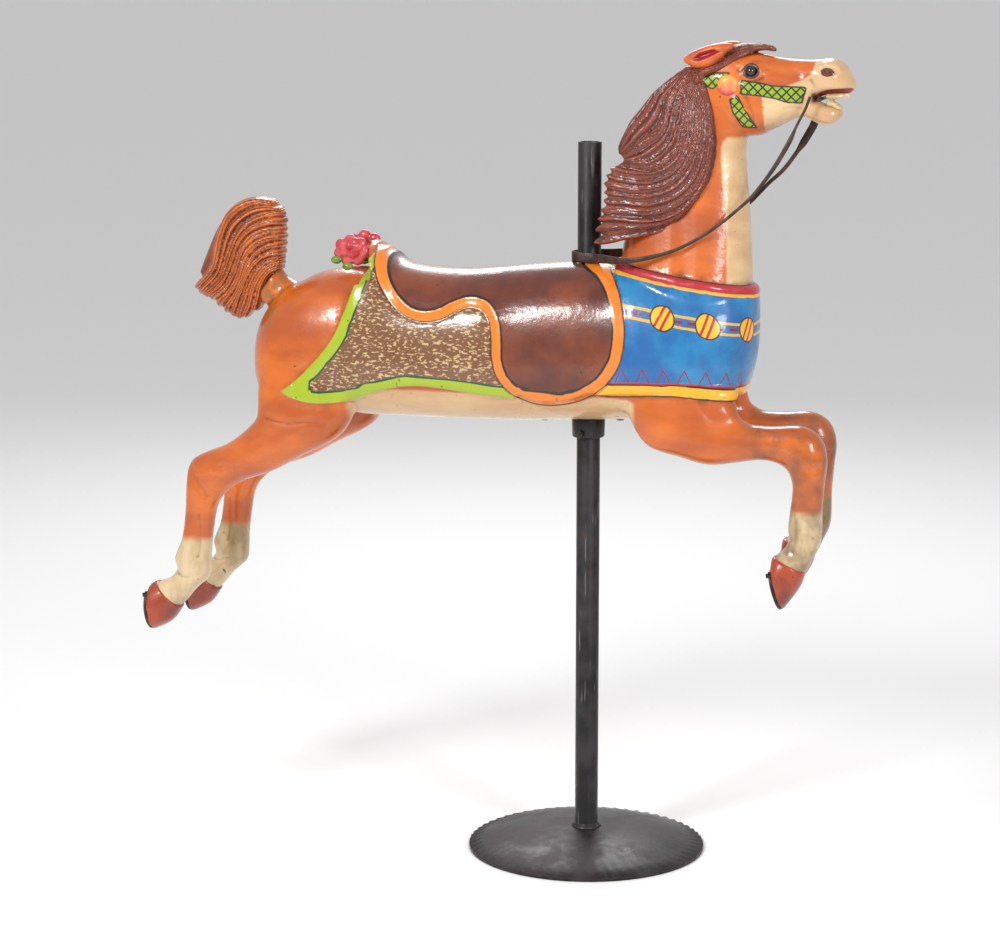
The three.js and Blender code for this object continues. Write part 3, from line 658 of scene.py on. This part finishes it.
mane_grid = combed(MANE_GUIDES, mane_depth)
far_grid = combed(FAR_GUIDES, far_depth)
tail_grid = combed(TAIL_GUIDES, lambda across, along: 0 * across)
forelock_grid = combed(FORELOCK_GUIDES)
MANE_CUTS = [
    0, 0.06, 0.13, 0.19, 0.27, 0.34, 0.40, 0.48, 0.54, 0.62, 0.68, 0.76, 0.83, 0.88, 0.94, 1,
]
TAIL_CUTS = [0, 0.10, 0.20, 0.27, 0.37, 0.45, 0.54, 0.61, 0.70, 0.77, 0.86, 1]
hair_forms = [
    *locks(mane_grid, MANE_CUTS, lambda t: np.interp(t, [0, 0.2, 0.7, 1], [8, 15, 19, 15]), 0.16,
           2),
    *locks(far_grid, [0, 0.16, 0.30, 0.46, 0.60, 0.74, 0.88, 1],
           lambda t: np.interp(t, [0, 0.2, 1], [8, 14, 14]),
           0.12, 2),
    *locks(tail_grid, TAIL_CUTS, lambda t: np.interp(t, [0, 0.15, 0.5, 0.85, 1],
                                                     [27, 33, 36, 32, 24]), 0.09, 3),
    *locks(forelock_grid, [0, 0.12, 0.24, 0.36, 0.5, 0.64, 0.76, 0.88, 1], lambda t: 9 - 3 * t,
           0.2, 2),
    form(MANE_FILL, 24), form(FAR_FILL, 24), form(TAIL_FILL, 24),
]
hair = joined("hair", hair_forms, 0.0032, 1)


# ---- carving strokes and painted outlines, as lines of [x, z] seen from the side ----
def nearest_on(points, line):
    """(distance, position along) from flat points to a polyline, in millimetres."""
    line = np.asarray(line, float)
    best = np.full(len(points), 1e9)
    where = np.zeros(len(points))
    start = 0.0
    for a, b in zip(line[:-1], line[1:]):
        span = b - a
        length = max(np.linalg.norm(span), 1e-6)
        share = np.clip(((points - a) @ span) / length ** 2, 0, 1)
        away = np.linalg.norm(points - a - share[:, None] * span, axis=1)
        nearer = away < best
        best[nearer] = away[nearer]
        where[nearer] = start + share[nearer] * length
        start += length
    return best, where


def inside(points, outline):
    """Distance from flat points to a closed outline, positive inside it."""
    outline = np.asarray(outline, float)
    closed = np.vstack([outline, outline[:1]])
    away, _ = nearest_on(points, closed)
    within = np.zeros(len(points), bool)
    for a, b in zip(closed[:-1], closed[1:]):
        crosses = (a[1] > points[:, 1]) != (b[1] > points[:, 1])
        rise = b[1] - a[1] if b[1] != a[1] else 1e-9
        within ^= crosses & (points[:, 0] < (b[0] - a[0]) * (points[:, 1] - a[1]) / rise + a[0])
    return np.where(within, away, -away)


BAND_HALF = 9.5
SADDLE_BAND = [
    [-396, 1165], [-384, 1122], [-363, 1088], [-331, 1059], [-300, 1047], [-265, 1050],
    [-233, 1066], [-204, 1075], [-173, 1068], [-154, 1044], [-148, 1014], [-146, 977],
    [-138, 943], [-115, 914], [-76, 896], [-32, 896], [14, 910], [52, 936], [78, 974], [86, 1019],
    [83, 1051], [70, 1095], [43, 1131], [1, 1154],
]
BLANKET_RIM = [
    [-425, 1128], [-434, 1088], [-448, 1049], [-466, 1003], [-499, 959], [-533, 925], [-564, 899],
    [-576, 893], [-552, 882], [-516, 874], [-476, 874], [-432, 881], [-400, 894], [-366, 905],
    [-299, 914], [-204, 904], [-115, 895],
]
CHEEK_STRAP = [
    [295, 1491], [327, 1487], [353, 1481], [384, 1480], [412, 1479], [404, 1451], [379, 1452],
    [353, 1460], [328, 1464], [295, 1467],
]
THROAT_STRAP = [[274, 1457], [280, 1434], [297, 1406], [323, 1405], [303, 1437], [288, 1464]]
BROW_STRAP = [[213, 1490], [247, 1504], [273, 1504], [242, 1475], [219, 1483]]
saddle_outline = np.vstack([smooth_rows(SADDLE_BAND, 6), [[1, 1300], [-396, 1300]]])
blanket_outline = np.vstack([smooth_rows(BLANKET_RIM[:8], 6), smooth_rows(BLANKET_RIM[7:], 6),
                             [[-80, 960], [-170, 1090], [-280, 1100], [-390, 1180]]])


def flat(points):
    """[x, z] in millimetres of scene points, and y."""
    return np.stack([(points[:, 0] - TUBE_X) * 1000, points[:, 2] * 1000],
                    axis=1), points[:, 1] * 1000


def normals_of(obj):
    """The outward direction at each vertex."""
    normals = np.empty(len(obj.data.vertices) * 3, np.float32)
    obj.data.vertices.foreach_get("normal", normals)
    return normals.reshape(-1, 3).astype(float)


def move_points(obj, points):
    """Moves the vertices to new points in metres."""
    obj.data.vertices.foreach_set("co", points.astype(np.float32).ravel())
    obj.data.update()


def falloff(away, radius):
    """One at a stroke's middle, easing to nothing at its radius."""
    return (1 - np.clip(away / radius, 0, 1) ** 2) ** 2


def raised(distance, height):
    """The height of a layer that stands off the body inside its outline."""
    return height * np.clip(distance / 5 + 0.5, 0, 1)


def soft(value, low, high):
    """From nothing at low to one at high."""
    return np.clip((value - low) / (high - low), 0, 1)


def bridle(points):
    """Distance inside the nearest of the painted bridle straps."""
    return np.maximum.reduce([inside(points, s) for s in (CHEEK_STRAP, THROAT_STRAP, BROW_STRAP)])


def collar_top(x):
    return np.interp(x, [40, 186, 340], [1155, 1131, 1107])


def collar_low(x):
    return np.interp(x, [40, 190, 340], [910, 914, 903])


# [line, radius, depth]: a positive depth cuts in, a negative one raises
STROKES = [
    [[[426, 1459], [448, 1468], [478, 1471], [494, 1473]], 9, 5],
    [[[441, 1511], [449, 1508], [460, 1505]], 11, 9],
    [[[434, 1500], [440, 1518], [458, 1524], [470, 1515]], 6, -2.5],
    [[[289, 1509], [304, 1524], [332, 1530], [343, 1526]], 8, 3],
    [[[292, 1518], [310, 1530], [334, 1534]], 7, -3],
    [[[293, 1494], [312, 1490], [334, 1496]], 7, 2.5],
    [[[340, 1512], [362, 1506], [396, 1500]], 12, 3],
    [[[300, 1470], [318, 1430], [312, 1405]], 10, 2.5],
    [[[420, 1492], [428, 1478], [424, 1464]], 8, 2.5],
    [[[372, 1440], [404, 1440], [430, 1432]], 8, 2],
    [[[150, 1390], [180, 1300], [196, 1200], [200, 1140]], 26, 4],
    [[[-772, 736], [-748, 700], [-734, 678]], 14, 4],
    [[[-700, 740], [-672, 716], [-690, 690]], 14, 3],
    [[[-752, 640], [-750, 590], [-756, 555]], 7, 3],
    [[[-800, 520], [-780, 514], [-756, 520]], 8, 3],
    [[[-607, 838], [-560, 832], [-516, 836], [-488, 830]], 7, 2.5],
    [[[-440, 1000], [-470, 930], [-480, 860]], 24, 4],
    [[[418, 800], [440, 782], [462, 790]], 12, 3],
    [[[414, 700], [418, 660], [414, 630]], 8, 3],
    [[[240, 900], [268, 872], [300, 862]], 18, 4],
    [[[392, 604], [414, 590], [430, 588]], 8, 3],
]
mm, y = flat(surface_of(body)[0])
points, normals = surface_of(body)[0].astype(float), normals_of(body)
shift = np.zeros(len(points))
facing = np.clip((np.abs(normals[:, 1]) - 0.15) / 0.35, 0, 1)
for line, radius, depth in STROKES:
    away, _ = nearest_on(mm, smooth_rows(line, 6))
    shift -= depth * falloff(away, radius) * facing
saddle = inside(mm, saddle_outline)
blanket = inside(mm, blanket_outline)
z_top = collar_top(mm[:, 0])
z_low = collar_low(mm[:, 0])
breast = np.minimum.reduce([z_top - mm[:, 1], mm[:, 1] - z_low, mm[:, 0] - 20])
breast = np.where(np.abs(y) > 20, breast, np.minimum(breast, mm[:, 0] - 250))
strap = bridle(mm)
trunk = np.abs(y) > 62
trunk |= (mm[:, 1] > 1060) | (mm[:, 0] > 230)
layer = np.maximum(raised(saddle, 7.5), raised(blanket, 3.5) * trunk)
layer = np.maximum(layer, raised(breast, 5))
shift += layer + raised(strap, 2.5)
shift += 2.2 * falloff(np.abs(saddle), BAND_HALF) - 2.5 * falloff(np.abs(saddle + 12), 4)
shift += 2.5 * falloff(np.abs(z_top - mm[:, 1] - 9), 10) * (breast > -4) * (breast < 30)
shift += 2.0 * falloff(np.abs(mm[:, 1] - z_low - 10), 11) * (breast > -4) * (breast < 30)
points += normals * shift[:, None] / 1000
socket = np.linalg.norm(mm - [312, 1508], axis=1) < 10.8
points[socket, 1] = np.sign(points[socket, 1]) * np.minimum(np.abs(points[socket, 1]), 0.0445)
move_points(body, points)


# ---- small carved pieces: hooves, ears, teeth, rosettes and the two flowers ----
hooves = joined("hooves", [form(hoof, 32, side=side, step=step) for _, hoof, side, step in legs],
                0.003, 3)
EAR = [
    [[184, 1528], [190, 1520], 4], [[200, 1541], [210, 1512], 11], [[226, 1552], [233, 1515], 15],
    [[252, 1558], [254, 1527], 15], [[270, 1558], [266, 1540], 12], [[280, 1555], [278, 1548], 5],
]
EAR_HOLLOW = [[201, 1527], [217, 1541], [243, 1548], [258, 1543], [232, 1530], [215, 1524]]
EAR_Y = 43
ear_rows = [[a, b, w, EAR_Y] for a, b, w in EAR]
ears = joined("ears", [form(ear_rows, 24, side=side) for side in (-1, 1)], 0.002, 2)
mm, y = flat(surface_of(ears)[0])
points = surface_of(ears)[0].astype(float)
ear_hollow = inside(mm, EAR_HOLLOW)
outer = np.abs(y) > EAR_Y + 1
points[:, 1] -= np.sign(y) * outer * np.clip(ear_hollow + 1, 0, 7) * 1.7 / 1000
move_points(ears, points)
teeth = joined("teeth", [form(UPPER_TEETH, 24), form(LOWER_TEETH, 24)], 0.002, 1)
rosettes = joined("rosettes", [egg((270, side * 50, 1482), (20, 9, 20)) for side in (-1, 1)],
                  0.002, 2)
FLOWER_X, FLOWER_Z = -456, 1158
flower_forms = []
for side in (-1, 1):
    for ring_size, petals, lift in ((24, 7, 0), (14, 5, 7), (0, 1, 13)):
        for petal in range(petals):
            turn = 2 * np.pi * (petal / petals + 0.13 * ring_size)
            flower_forms.append(egg((FLOWER_X + ring_size * np.cos(turn),
                                     side * (44 + lift * 0.9),
                                     FLOWER_Z + lift * 0.8 + ring_size * 0.8 * np.sin(turn)),
                                    (13 - lift * 0.25, 9, 12 - lift * 0.25), 14))
flowers = joined("flowers", flower_forms, 0.0022, 1)
leaf_forms = []
for side in (-1, 1):
    for dx, dz, long_ in ((-28, -16, 12), (-6, -28, 11)):
        leaf_forms.append(egg((FLOWER_X + dx, side * 52, FLOWER_Z - 2 + dz), (long_, 7, 8), 14))
leaves = joined("leaves", leaf_forms, 0.0024, 1)


# ---- what the paint needs to know, per vertex ----
def write(obj, name, values):
    """Stores one value for each vertex under a name."""
    layer = obj.data.attributes.new(name, "FLOAT", "POINT")
    layer.data.foreach_set("value", np.asarray(values, np.float32))


def cavity(obj, rounds=6):
    """How deep each vertex lies below its neighbours' average, over a few rings, in millimetres."""
    points = surface_of(obj)[0].astype(float)
    edges = np.empty(len(obj.data.edges) * 2, np.int32)
    obj.data.edges.foreach_get("vertices", edges)
    a, b = edges.reshape(-1, 2).T
    count = (np.bincount(a, minlength=len(points)) + np.bincount(b, minlength=len(points)))[:, None]
    mean = points.copy()
    for _ in range(rounds):
        total = np.stack([np.bincount(a, mean[b, k],
                                      len(points)) + np.bincount(b, mean[a, k], len(points))
                          for k in range(3)], axis=1)
        mean = 0.5 * mean + 0.5 * total / np.maximum(count, 1)
    return ((mean - points) * normals_of(obj)).sum(1) * 1000


mm, y = flat(surface_of(body)[0])
x, z = mm[:, 0], mm[:, 1]
write(body, "hollow", cavity(body, 8))
write(body, "saddle", inside(mm, saddle_outline))
write(body, "blanket", np.where(trunk, inside(mm, blanket_outline), -40))
write(body, "strap", bridle(mm))
around = np.degrees(np.arctan2(np.abs(y), x - 190))
write(body, "breast", breast)
write(body, "breast_down", collar_top(x) - z)
write(body, "breast_up", z - collar_low(x))
write(body, "breast_round", np.where(x < 190, x - 190, np.interp(
    around, [0, 8.7, 21, 34.2, 48.1, 66.1, 90], [203, 183, 155, 124, 91.5, 51, 0])))
belly = soft(z, 915, 893) * soft(x, -470, -420) * soft(x, 130, 90)
throat_line = np.interp(z, [1113, 1126, 1189, 1239, 1285, 1328, 1363],
                        [313, 313, 310, 307, 303, 297, 296])
throat = soft(x, throat_line - 46, throat_line - 26) * soft(z, 1108, 1122) * soft(z, 1400, 1370)
muzzle = soft(inside(mm, [[425, 1532], [420, 1505], [400, 1492], [380, 1485], [330, 1470],
                          [335, 1395], [520, 1380],
                          [520, 1540]]), -4, 8)
stocking = np.maximum(soft(z, 608, 576) * (x < 0), soft(z, 722, 688) * (x > 0))
write(body, "cream", np.maximum.reduce([belly, throat, muzzle]))
write(body, "stocking", stocking)
write(body, "jaw", soft(z, 1440, 1405) * soft(x, 300, 340))
write(body, "nostril", 12 - np.hypot((x - 450) * 0.8, (z - 1507) * 1.25))
write(body, "mouth", 5 - nearest_on(mm, [[426, 1460], [448, 1470], [490, 1474]])[0])
write(body, "eye_rim", 18 - np.hypot(x - 312, (z - 1508) * 1.15))
write(body, "dock", soft(x, -590, -606) * soft(z, 1000, 1025))
write(ears, "ear_hollow", inside(flat(surface_of(ears)[0])[0], EAR_HOLLOW))
for piece in (ears, hooves, rosettes, flowers, leaves, teeth):
    write(piece, "hollow", cavity(piece, 5))


hair_grids = [mane_grid[::4], far_grid[::8], tail_grid[::4], forelock_grid[::8]]

# which mass of hair each vertex belongs to, and how far across it
tree_points, tree_keys = [], []
for mass, grid in enumerate(hair_grids):
    rows, columns = grid.shape[:2]
    tree_points.append(placed(grid.reshape(-1, 3)))
    across = np.repeat(np.linspace(0, 1, rows), columns)
    tree_keys.append(np.stack([np.full(rows * columns, mass), across], axis=1))
tree_points, tree_keys = np.vstack(tree_points), np.vstack(tree_keys)
tree = KDTree(len(tree_points))
for index, spot in enumerate(tree_points):
    tree.insert(spot, index)
tree.balance()
hair_keys = tree_keys[[tree.find(point)[1] for point in surface_of(hair)[0]]]
write(hair, "hollow", cavity(hair, 8))
write(hair, "mass", hair_keys[:, 0])
write(hair, "across", hair_keys[:, 1])


# ---- paint: old layers under glossy varnish ----
def wear_and_shade_group():
    """Old paint: painted shade and dirt in the hollows, rubbed edges and small chips, over any
    colour.
    """
    group = bpy.data.node_groups.new("old paint wear and painted shade", "ShaderNodeTree")
    for name, kind in (("Colour", "NodeSocketColor"), ("Place", "NodeSocketVector"),
                       ("Hollow", "NodeSocketFloat"), ("Shade and dirt", "NodeSocketFloat")):
        group.interface.new_socket(name, in_out="INPUT", socket_type=kind)
    group.interface.new_socket("Colour", in_out="OUTPUT", socket_type="NodeSocketColor")
    given = group.nodes.new("NodeGroupInput").outputs
    n = Nodes(group, given["Place"])
    hollow = given["Hollow"]
    # painted shade and dirt: the colour turns dark brown where the surface lies in a hollow, patchy
    # with noise
    shade_and_dirt_depth = n.plus(hollow, n.times(n.noise(9.0, 5.0), 0.8))
    dark = n.times(n.step(shade_and_dirt_depth, 0.6, 2.6), given["Shade and dirt"])
    colour = n.mix(dark, given["Colour"], linear(38, 16, 10))
    rub = n.both(n.step(hollow, -0.9, -2.6), n.step(n.noise(40.0, 4.0), 0.45, 0.62), 0.35)
    colour = n.mix(rub, colour, linear(190, 140, 100))
    chip = n.both(n.step(n.noise(75.0, 3.0), 0.70, 0.715), n.step(n.noise(6.0, 2.0), 0.5, 0.6))
    colour = n.mix(chip, colour, linear(52, 26, 18))
    group.links.new(colour, group.nodes.new("NodeGroupOutput").inputs["Colour"])
    return group


OLD_PAINT_WEAR_AND_SHADE = wear_and_shade_group()


def aged_and_shaded(n, colour, shade_and_dirt=0.75):
    """A painted colour after years of use, with painted shade and dirt in its hollows."""
    node = n.tree.nodes.new("ShaderNodeGroup")
    node.node_tree = OLD_PAINT_WEAR_AND_SHADE
    for name, value in (("Colour", colour), ("Place", n.place), ("Hollow", n.value("hollow")),
                        ("Shade and dirt", shade_and_dirt)):
        n.put(node.inputs[name], value)
    return node.outputs["Colour"]


MEDALLION_DROP = 77.0
MEDALLION_STEP = 86.0
ZIGZAG_STEP = 39.0
YELLOW = linear(236, 168, 24)


def body_paint():
    """Orange body with cream parts, saddle, blanket, breast collar and bridle."""
    n = Finish("body paint", coat=0.6)
    x, _, z = n.split()
    wobble = n.times(n.minus(n.noise(14.0, 2.0), 0.5), 5.0)
    brush = n.noise(5.0, 6.0, (1, 1, 2.5))
    colour = n.mix(n.step(brush, 0.35, 0.7), linear(174, 76, 10), linear(212, 106, 20))
    colour = n.mix(n.both(n.step(n.noise(3.0, 3.0), 0.52, 0.72), 0.35), colour, linear(150, 62, 14))
    colour = n.mix(n.both(n.value("dock"), n.step(n.noise(60.0, 3.0), 0.4, 0.6), 0.7), colour,
                   linear(120, 90, 30))
    pale = n.mix(n.step(brush, 0.3, 0.7), linear(196, 152, 108), linear(222, 190, 142))
    colour = n.mix(n.step(n.plus(n.value("cream"), n.times(wobble, 0.05)), 0.35, 0.65), colour,
                   pale)
    sock = n.mix(n.step(n.noise(10.0, 5.0, (1, 1, 0.4)), 0.42, 0.7), linear(212, 186, 146),
                 linear(128, 104, 62))
    colour = n.mix(n.step(n.plus(n.value("stocking"), n.times(wobble, 0.05)), 0.3, 0.8), colour,
                   sock)
    colour = n.mix(n.both(n.value("jaw"), n.step(n.noise(20.0, 4.0), 0.3, 0.7), 0.7), colour,
                   linear(96, 60, 40))
    colour = n.mix(n.step(n.value("nostril"), 4.0, 6.0), colour, linear(120, 20, 30))
    colour = n.mix(n.band(n.value("nostril"), 2.0, 5.0), colour, linear(50, 20, 20))
    colour = n.mix(n.step(n.value("mouth"), -1.0, 1.0), colour, linear(120, 24, 34))
    colour = n.mix(n.band(n.value("eye_rim"), 1.5, 9.0, 1.0), colour, linear(70, 30, 16))
    # blanket under the saddle
    blanket = n.plus(n.value("blanket"), n.times(wobble, 0.3))
    cloth = n.mix(n.step(n.noise(260.0, 2.0, (0.45, 1, 1)), 0.54, 0.62), linear(116, 74, 42),
                  linear(196, 166, 124))
    colour = n.mix(n.step(blanket, -0.5, 0.5), colour, linear(120, 140, 14))
    colour = n.mix(n.band(blanket, 0.0, 19.0), colour, linear(156, 176, 20))
    colour = n.mix(n.band(blanket, 19.0, 23.0), colour, linear(12, 66, 48))
    colour = n.mix(n.step(blanket, 22.5, 23.5), colour, cloth)
    # saddle with its piped edge
    saddle = n.plus(n.value("saddle"), n.times(wobble, 0.25))
    hide = n.mix(n.step(n.noise(7.0, 6.0), 0.35, 0.68), linear(84, 30, 14), linear(128, 58, 26))
    hide = n.mix(n.both(n.step(z, 1132.0, 1168.0), n.step(n.noise(16.0, 5.0), 0.3, 0.6), 0.8), hide,
                 linear(146, 128, 118))
    colour = n.mix(n.step(saddle, 8.5, 9.5), colour, hide)
    colour = n.mix(n.band(saddle, -10.0, 9.5), colour, linear(226, 122, 22))
    colour = n.mix(n.band(saddle, 9.0, 13.0), colour, linear(22, 16, 16))
    colour = n.mix(n.band(saddle, -12.0, -10.0), colour, linear(50, 24, 14))
    # breast collar
    outside_saddle = n.step(saddle, -11.0, -12.0)
    collar = n.both(n.step(n.value("breast"), -0.5, 0.5), outside_saddle)
    down, up, around = n.value("breast_down"), n.value("breast_up"), n.value("breast_round")
    blue = n.mix(n.step(n.noise(12.0, 5.0), 0.4, 0.65), linear(8, 92, 156), linear(24, 124, 176))
    panel = n.mix(n.step(down, 20.5, 19.5), blue, YELLOW)
    panel = n.mix(n.step(down, 14.5, 13.5), panel, linear(176, 26, 46))
    row = n.minus(down, MEDALLION_DROP)
    started = n.step(around, -108.0, -104.0)
    panel = n.mix(n.both(n.band(n.size_of(row), 7.5, 12.0), started), panel, YELLOW)
    dash = n.size_of(n.minus(n.repeat(n.plus(around, 500.0), 26.0), 13.0))
    panel = n.mix(n.both(n.band(n.size_of(row), -3.0, 3.0), n.step(dash, 9.5, 8.0), started), panel,
                  linear(140, 22, 52))
    beside = n.minus(n.repeat(n.plus(around, 24 + 10.5 * MEDALLION_STEP), MEDALLION_STEP),
                     MEDALLION_STEP / 2)
    disc = n.math("SQRT", n.plus(n.times(beside, beside), n.times(row, row)))
    slant = n.size_of(n.plus(beside, n.times(row, 0.45)))
    medal = n.mix(n.band(slant, 4.0, 9.5), linear(238, 176, 30), linear(176, 34, 40))
    medal = n.mix(n.step(disc, 20.0, 22.0), medal, linear(60, 34, 20))
    on_row = n.step(around, -90.0, -88.0)
    panel = n.mix(n.both(n.step(disc, 24.5, 23.5), on_row), panel, medal)
    panel = n.mix(n.step(up, 26.0, 25.0), panel, linear(170, 26, 44))
    panel = n.mix(n.step(up, 22.6, 21.8), panel, linear(26, 18, 18))
    panel = n.mix(n.step(up, 19.4, 18.6), panel, YELLOW)
    peak = n.size_of(n.minus(n.repeat(n.plus(around, 20 * ZIGZAG_STEP), ZIGZAG_STEP),
                             ZIGZAG_STEP / 2))
    rise = n.minus(n.math("DIVIDE", n.minus(up, 26.0), 24.0),
                  n.minus(1.0, n.math("DIVIDE", peak, 12.0)))
    zigzag = n.both(n.step(n.size_of(rise), 0.13, 0.10), n.step(peak, 13.5, 12.5),
                    n.step(up, 25.0, 26.0))
    panel = n.mix(zigzag, panel, linear(130, 20, 58))
    colour = n.mix(collar, colour, panel)
    colour = n.mix(n.both(n.band(n.value("breast"), -2.5, 0.0), outside_saddle), colour,
                   linear(40, 22, 18))
    # bridle
    lattice = None
    for sign in (1.0, -1.0):
        line = n.size_of(n.minus(n.repeat(n.plus(
            n.plus(x, n.times(z, sign)), 7000.0), 17.0), 8.5))
        one = n.step(line, 2.4, 1.6)
        lattice = one if lattice is None else n.math("MAXIMUM", lattice, one)
    cheek = n.mix(lattice, linear(140, 165, 14), linear(22, 26, 16))
    strap = n.value("strap")
    colour = n.mix(n.step(strap, -0.4, 0.4), colour, cheek)
    colour = n.mix(n.band(strap, -1.6, 1.2), colour, linear(40, 30, 14))
    # years of wear, with painted shade and dirt darkening the hollows
    colour = aged_and_shaded(n, colour)
    gloss = n.step(n.noise(8.0, 5.0), 0.3, 0.75, 0.22, 0.48)
    relief = n.plus(n.noise(35.0, 4.0), n.times(n.noise(160.0, 3.0), 0.25))
    return n.finish(colour, gloss, relief, 0.0016, 0.55)


def hair_paint():
    """Red-brown mane and forelock, and a lighter tail with orange streaks, with painted shade in
    the grooves and painted highlights on the ridges.
    """
    n = Finish("hair paint", coat=0.4)
    mass, across = n.value("mass"), n.value("across")
    tail = n.band(mass, 1.5, 2.5, 0.3)
    strand = n.times(n.plus(n.math("SINE", n.times(across, 150.0)), 1.0), 0.5)
    streak = n.plus(n.times(strand, 0.5), n.times(n.noise(26.0, 4.0), 0.6))
    mane = n.mix(n.step(streak, 0.3, 0.8), linear(74, 24, 14), linear(134, 56, 30))
    tail_colour = n.mix(n.step(streak, 0.3, 0.8), linear(116, 46, 14), linear(200, 100, 24))
    colour = n.mix(tail, mane, tail_colour)
    hollow = n.value("hollow")
    # painted shade: the grooves between the locks turn near-black
    colour = n.mix(n.step(hollow, 0.3, 1.8), colour, linear(26, 9, 7))
    # painted highlight: the ridges of the locks turn lighter brown in patches
    colour = n.mix(n.both(n.step(hollow, -0.4, -1.8), n.step(n.noise(30.0, 4.0), 0.4, 0.65), 0.4),
                   colour,
                   linear(176, 106, 74))
    gloss = n.step(n.noise(12.0, 5.0), 0.3, 0.75, 0.25, 0.5)
    relief = n.plus(n.times(strand, 0.8), n.noise(90.0, 3.0))
    return n.finish(colour, gloss, relief, 0.0018, 0.6)


# the last argument sets how strongly painted shade and dirt darken the hollows
def plain_paint(name, light, dark, scale=20.0, mask=None, marked=None, shade_and_dirt=0.75):
    n = Finish(name, coat=0.5)
    colour = n.mix(n.step(n.noise(scale, 5.0), 0.35, 0.68), linear(*light), linear(*dark))
    if mask:
        colour = n.mix(n.step(n.value(mask), 0.0, 2.0), colour, linear(*marked))
    return n.finish(aged_and_shaded(n, colour, shade_and_dirt), n.step(n.noise(10.0, 4.0), 0.3, 0.7, 0.25, 0.5),
                    n.noise(60.0, 4.0),
                    0.0012, 0.5)


give(body, body_paint())
give(hair, hair_paint())
give(hooves, plain_paint("hoof paint", (164, 60, 16), (108, 36, 20), 16.0))
give(ears, plain_paint("ear paint", (206, 98, 24), (160, 66, 18), 20.0, "ear_hollow",
                       (168, 24, 40)))
give(teeth, plain_paint("tooth paint", (226, 208, 166), (176, 146, 100), 50.0))
give(rosettes, plain_paint("rosette paint", (232, 160, 60), (200, 70, 96), 26.0, shade_and_dirt=0.4))
give(flowers, plain_paint("flower paint", (170, 26, 38), (204, 78, 84), 34.0, shade_and_dirt=0.9))
give(leaves, plain_paint("leaf paint", (120, 150, 26), (48, 84, 30), 30.0))
BODY_TRIANGLES = 58000
apply_modifier(body, "DECIMATE", ratio=BODY_TRIANGLES / (len(body.data.polygons) * 2))
apply_modifier(hair, "DECIMATE", ratio=0.62)
for piece in (flowers, leaves, hooves, ears, rosettes, teeth):
    apply_modifier(piece, "DECIMATE", ratio=0.5)
bpy.ops.object.select_all(action="DESELECT")
for piece in (hair, hooves, ears, teeth, rosettes, flowers, leaves, body):
    piece.select_set(True)
bpy.context.view_layer.objects.active = body
bpy.ops.object.join()
horse = bpy.context.view_layer.objects.active
horse.name = "horse_visual"
bpy.ops.object.select_all(action="DESELECT")
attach(horse, "root")
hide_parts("horse")

# ---------------------------------------------------------------- eyes and metal fittings
# Black glass eyes; iron bit, bolts and shoes; a steel stand painted black and rubbed by use.
def black_steel(name, light=(52, 50, 52), dark=(24, 22, 24), scratches=0.5, metallic=0.35):
    """Satin paint on iron, with scratches and rust."""
    n = Finish(name, metallic=metallic)
    worn = n.step(n.noise(14.0, 6.0), 0.35, 0.7)
    colour = n.mix(worn, linear(*dark), linear(*light))
    scratch = n.step(n.noise(220.0, 2.0, (1, 1, 0.05)), 0.66, 0.72)
    colour = n.mix(n.times(scratch, scratches), colour, linear(150, 144, 140))
    rust = n.step(n.noise(22.0, 5.0), 0.62, 0.74)
    colour = n.mix(n.times(rust, 0.5), colour, linear(78, 46, 34))
    return n.finish(colour, n.step(worn, 0.0, 1.0, 0.34, 0.56), n.noise(130.0, 4.0), 0.0005, 0.4)


glass = Finish("black glass", coat=1.0)
glass.shader.inputs["Coat Roughness"].default_value = 0.02
glass.finish(linear(12, 8, 8), 0.06)
iron = black_steel("old iron", (88, 74, 66), (40, 34, 32), 0.2, 0.7)
shoe = black_steel("shoe iron", (70, 62, 58), (30, 26, 26), 0.2, 0.6)
steel = black_steel("black painted steel")
base_steel = black_steel("base painted steel", (58, 50, 54), (28, 24, 26), 0.25)
FINISHES = {"glass_eye_right": glass.material, "glass_eye_left": glass.material, "bit": iron,
            "belly_bolt_front": iron, "belly_bolt_rear": iron, "collar_bolt": iron,
            "stop_collar": steel, "pole": steel, "base_disc": base_steel}
for obj in list(bpy.data.objects):
    if obj.type != "MESH":
        continue
    material = FINISHES.get(obj.name, shoe if "horseshoe" in obj.name else None)
    if material is None:
        continue
    obj.data.materials.clear()
    obj.data.materials.append(material)
    weld = obj.modifiers.new("weld", "WELD")
    weld.merge_threshold = 0.00005
    bevel = obj.modifiers.new("bevel", "BEVEL")
    bevel.width = 0.0008
    bevel.segments = 2
    bevel.limit_method = "ANGLE"
    bevel.angle_limit = math.radians(35)
    for polygon in obj.data.polygons:
        polygon.use_smooth = True

# ---------------------------------------------------------------- measurements and end
({"cad_box": [list(map(float, row)) if hasattr(row, "__len__") else float(row)
                       for row in cad_box],
           "bounds": [list(map(float, row)) if hasattr(row, "__len__") else float(row)
                      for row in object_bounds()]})
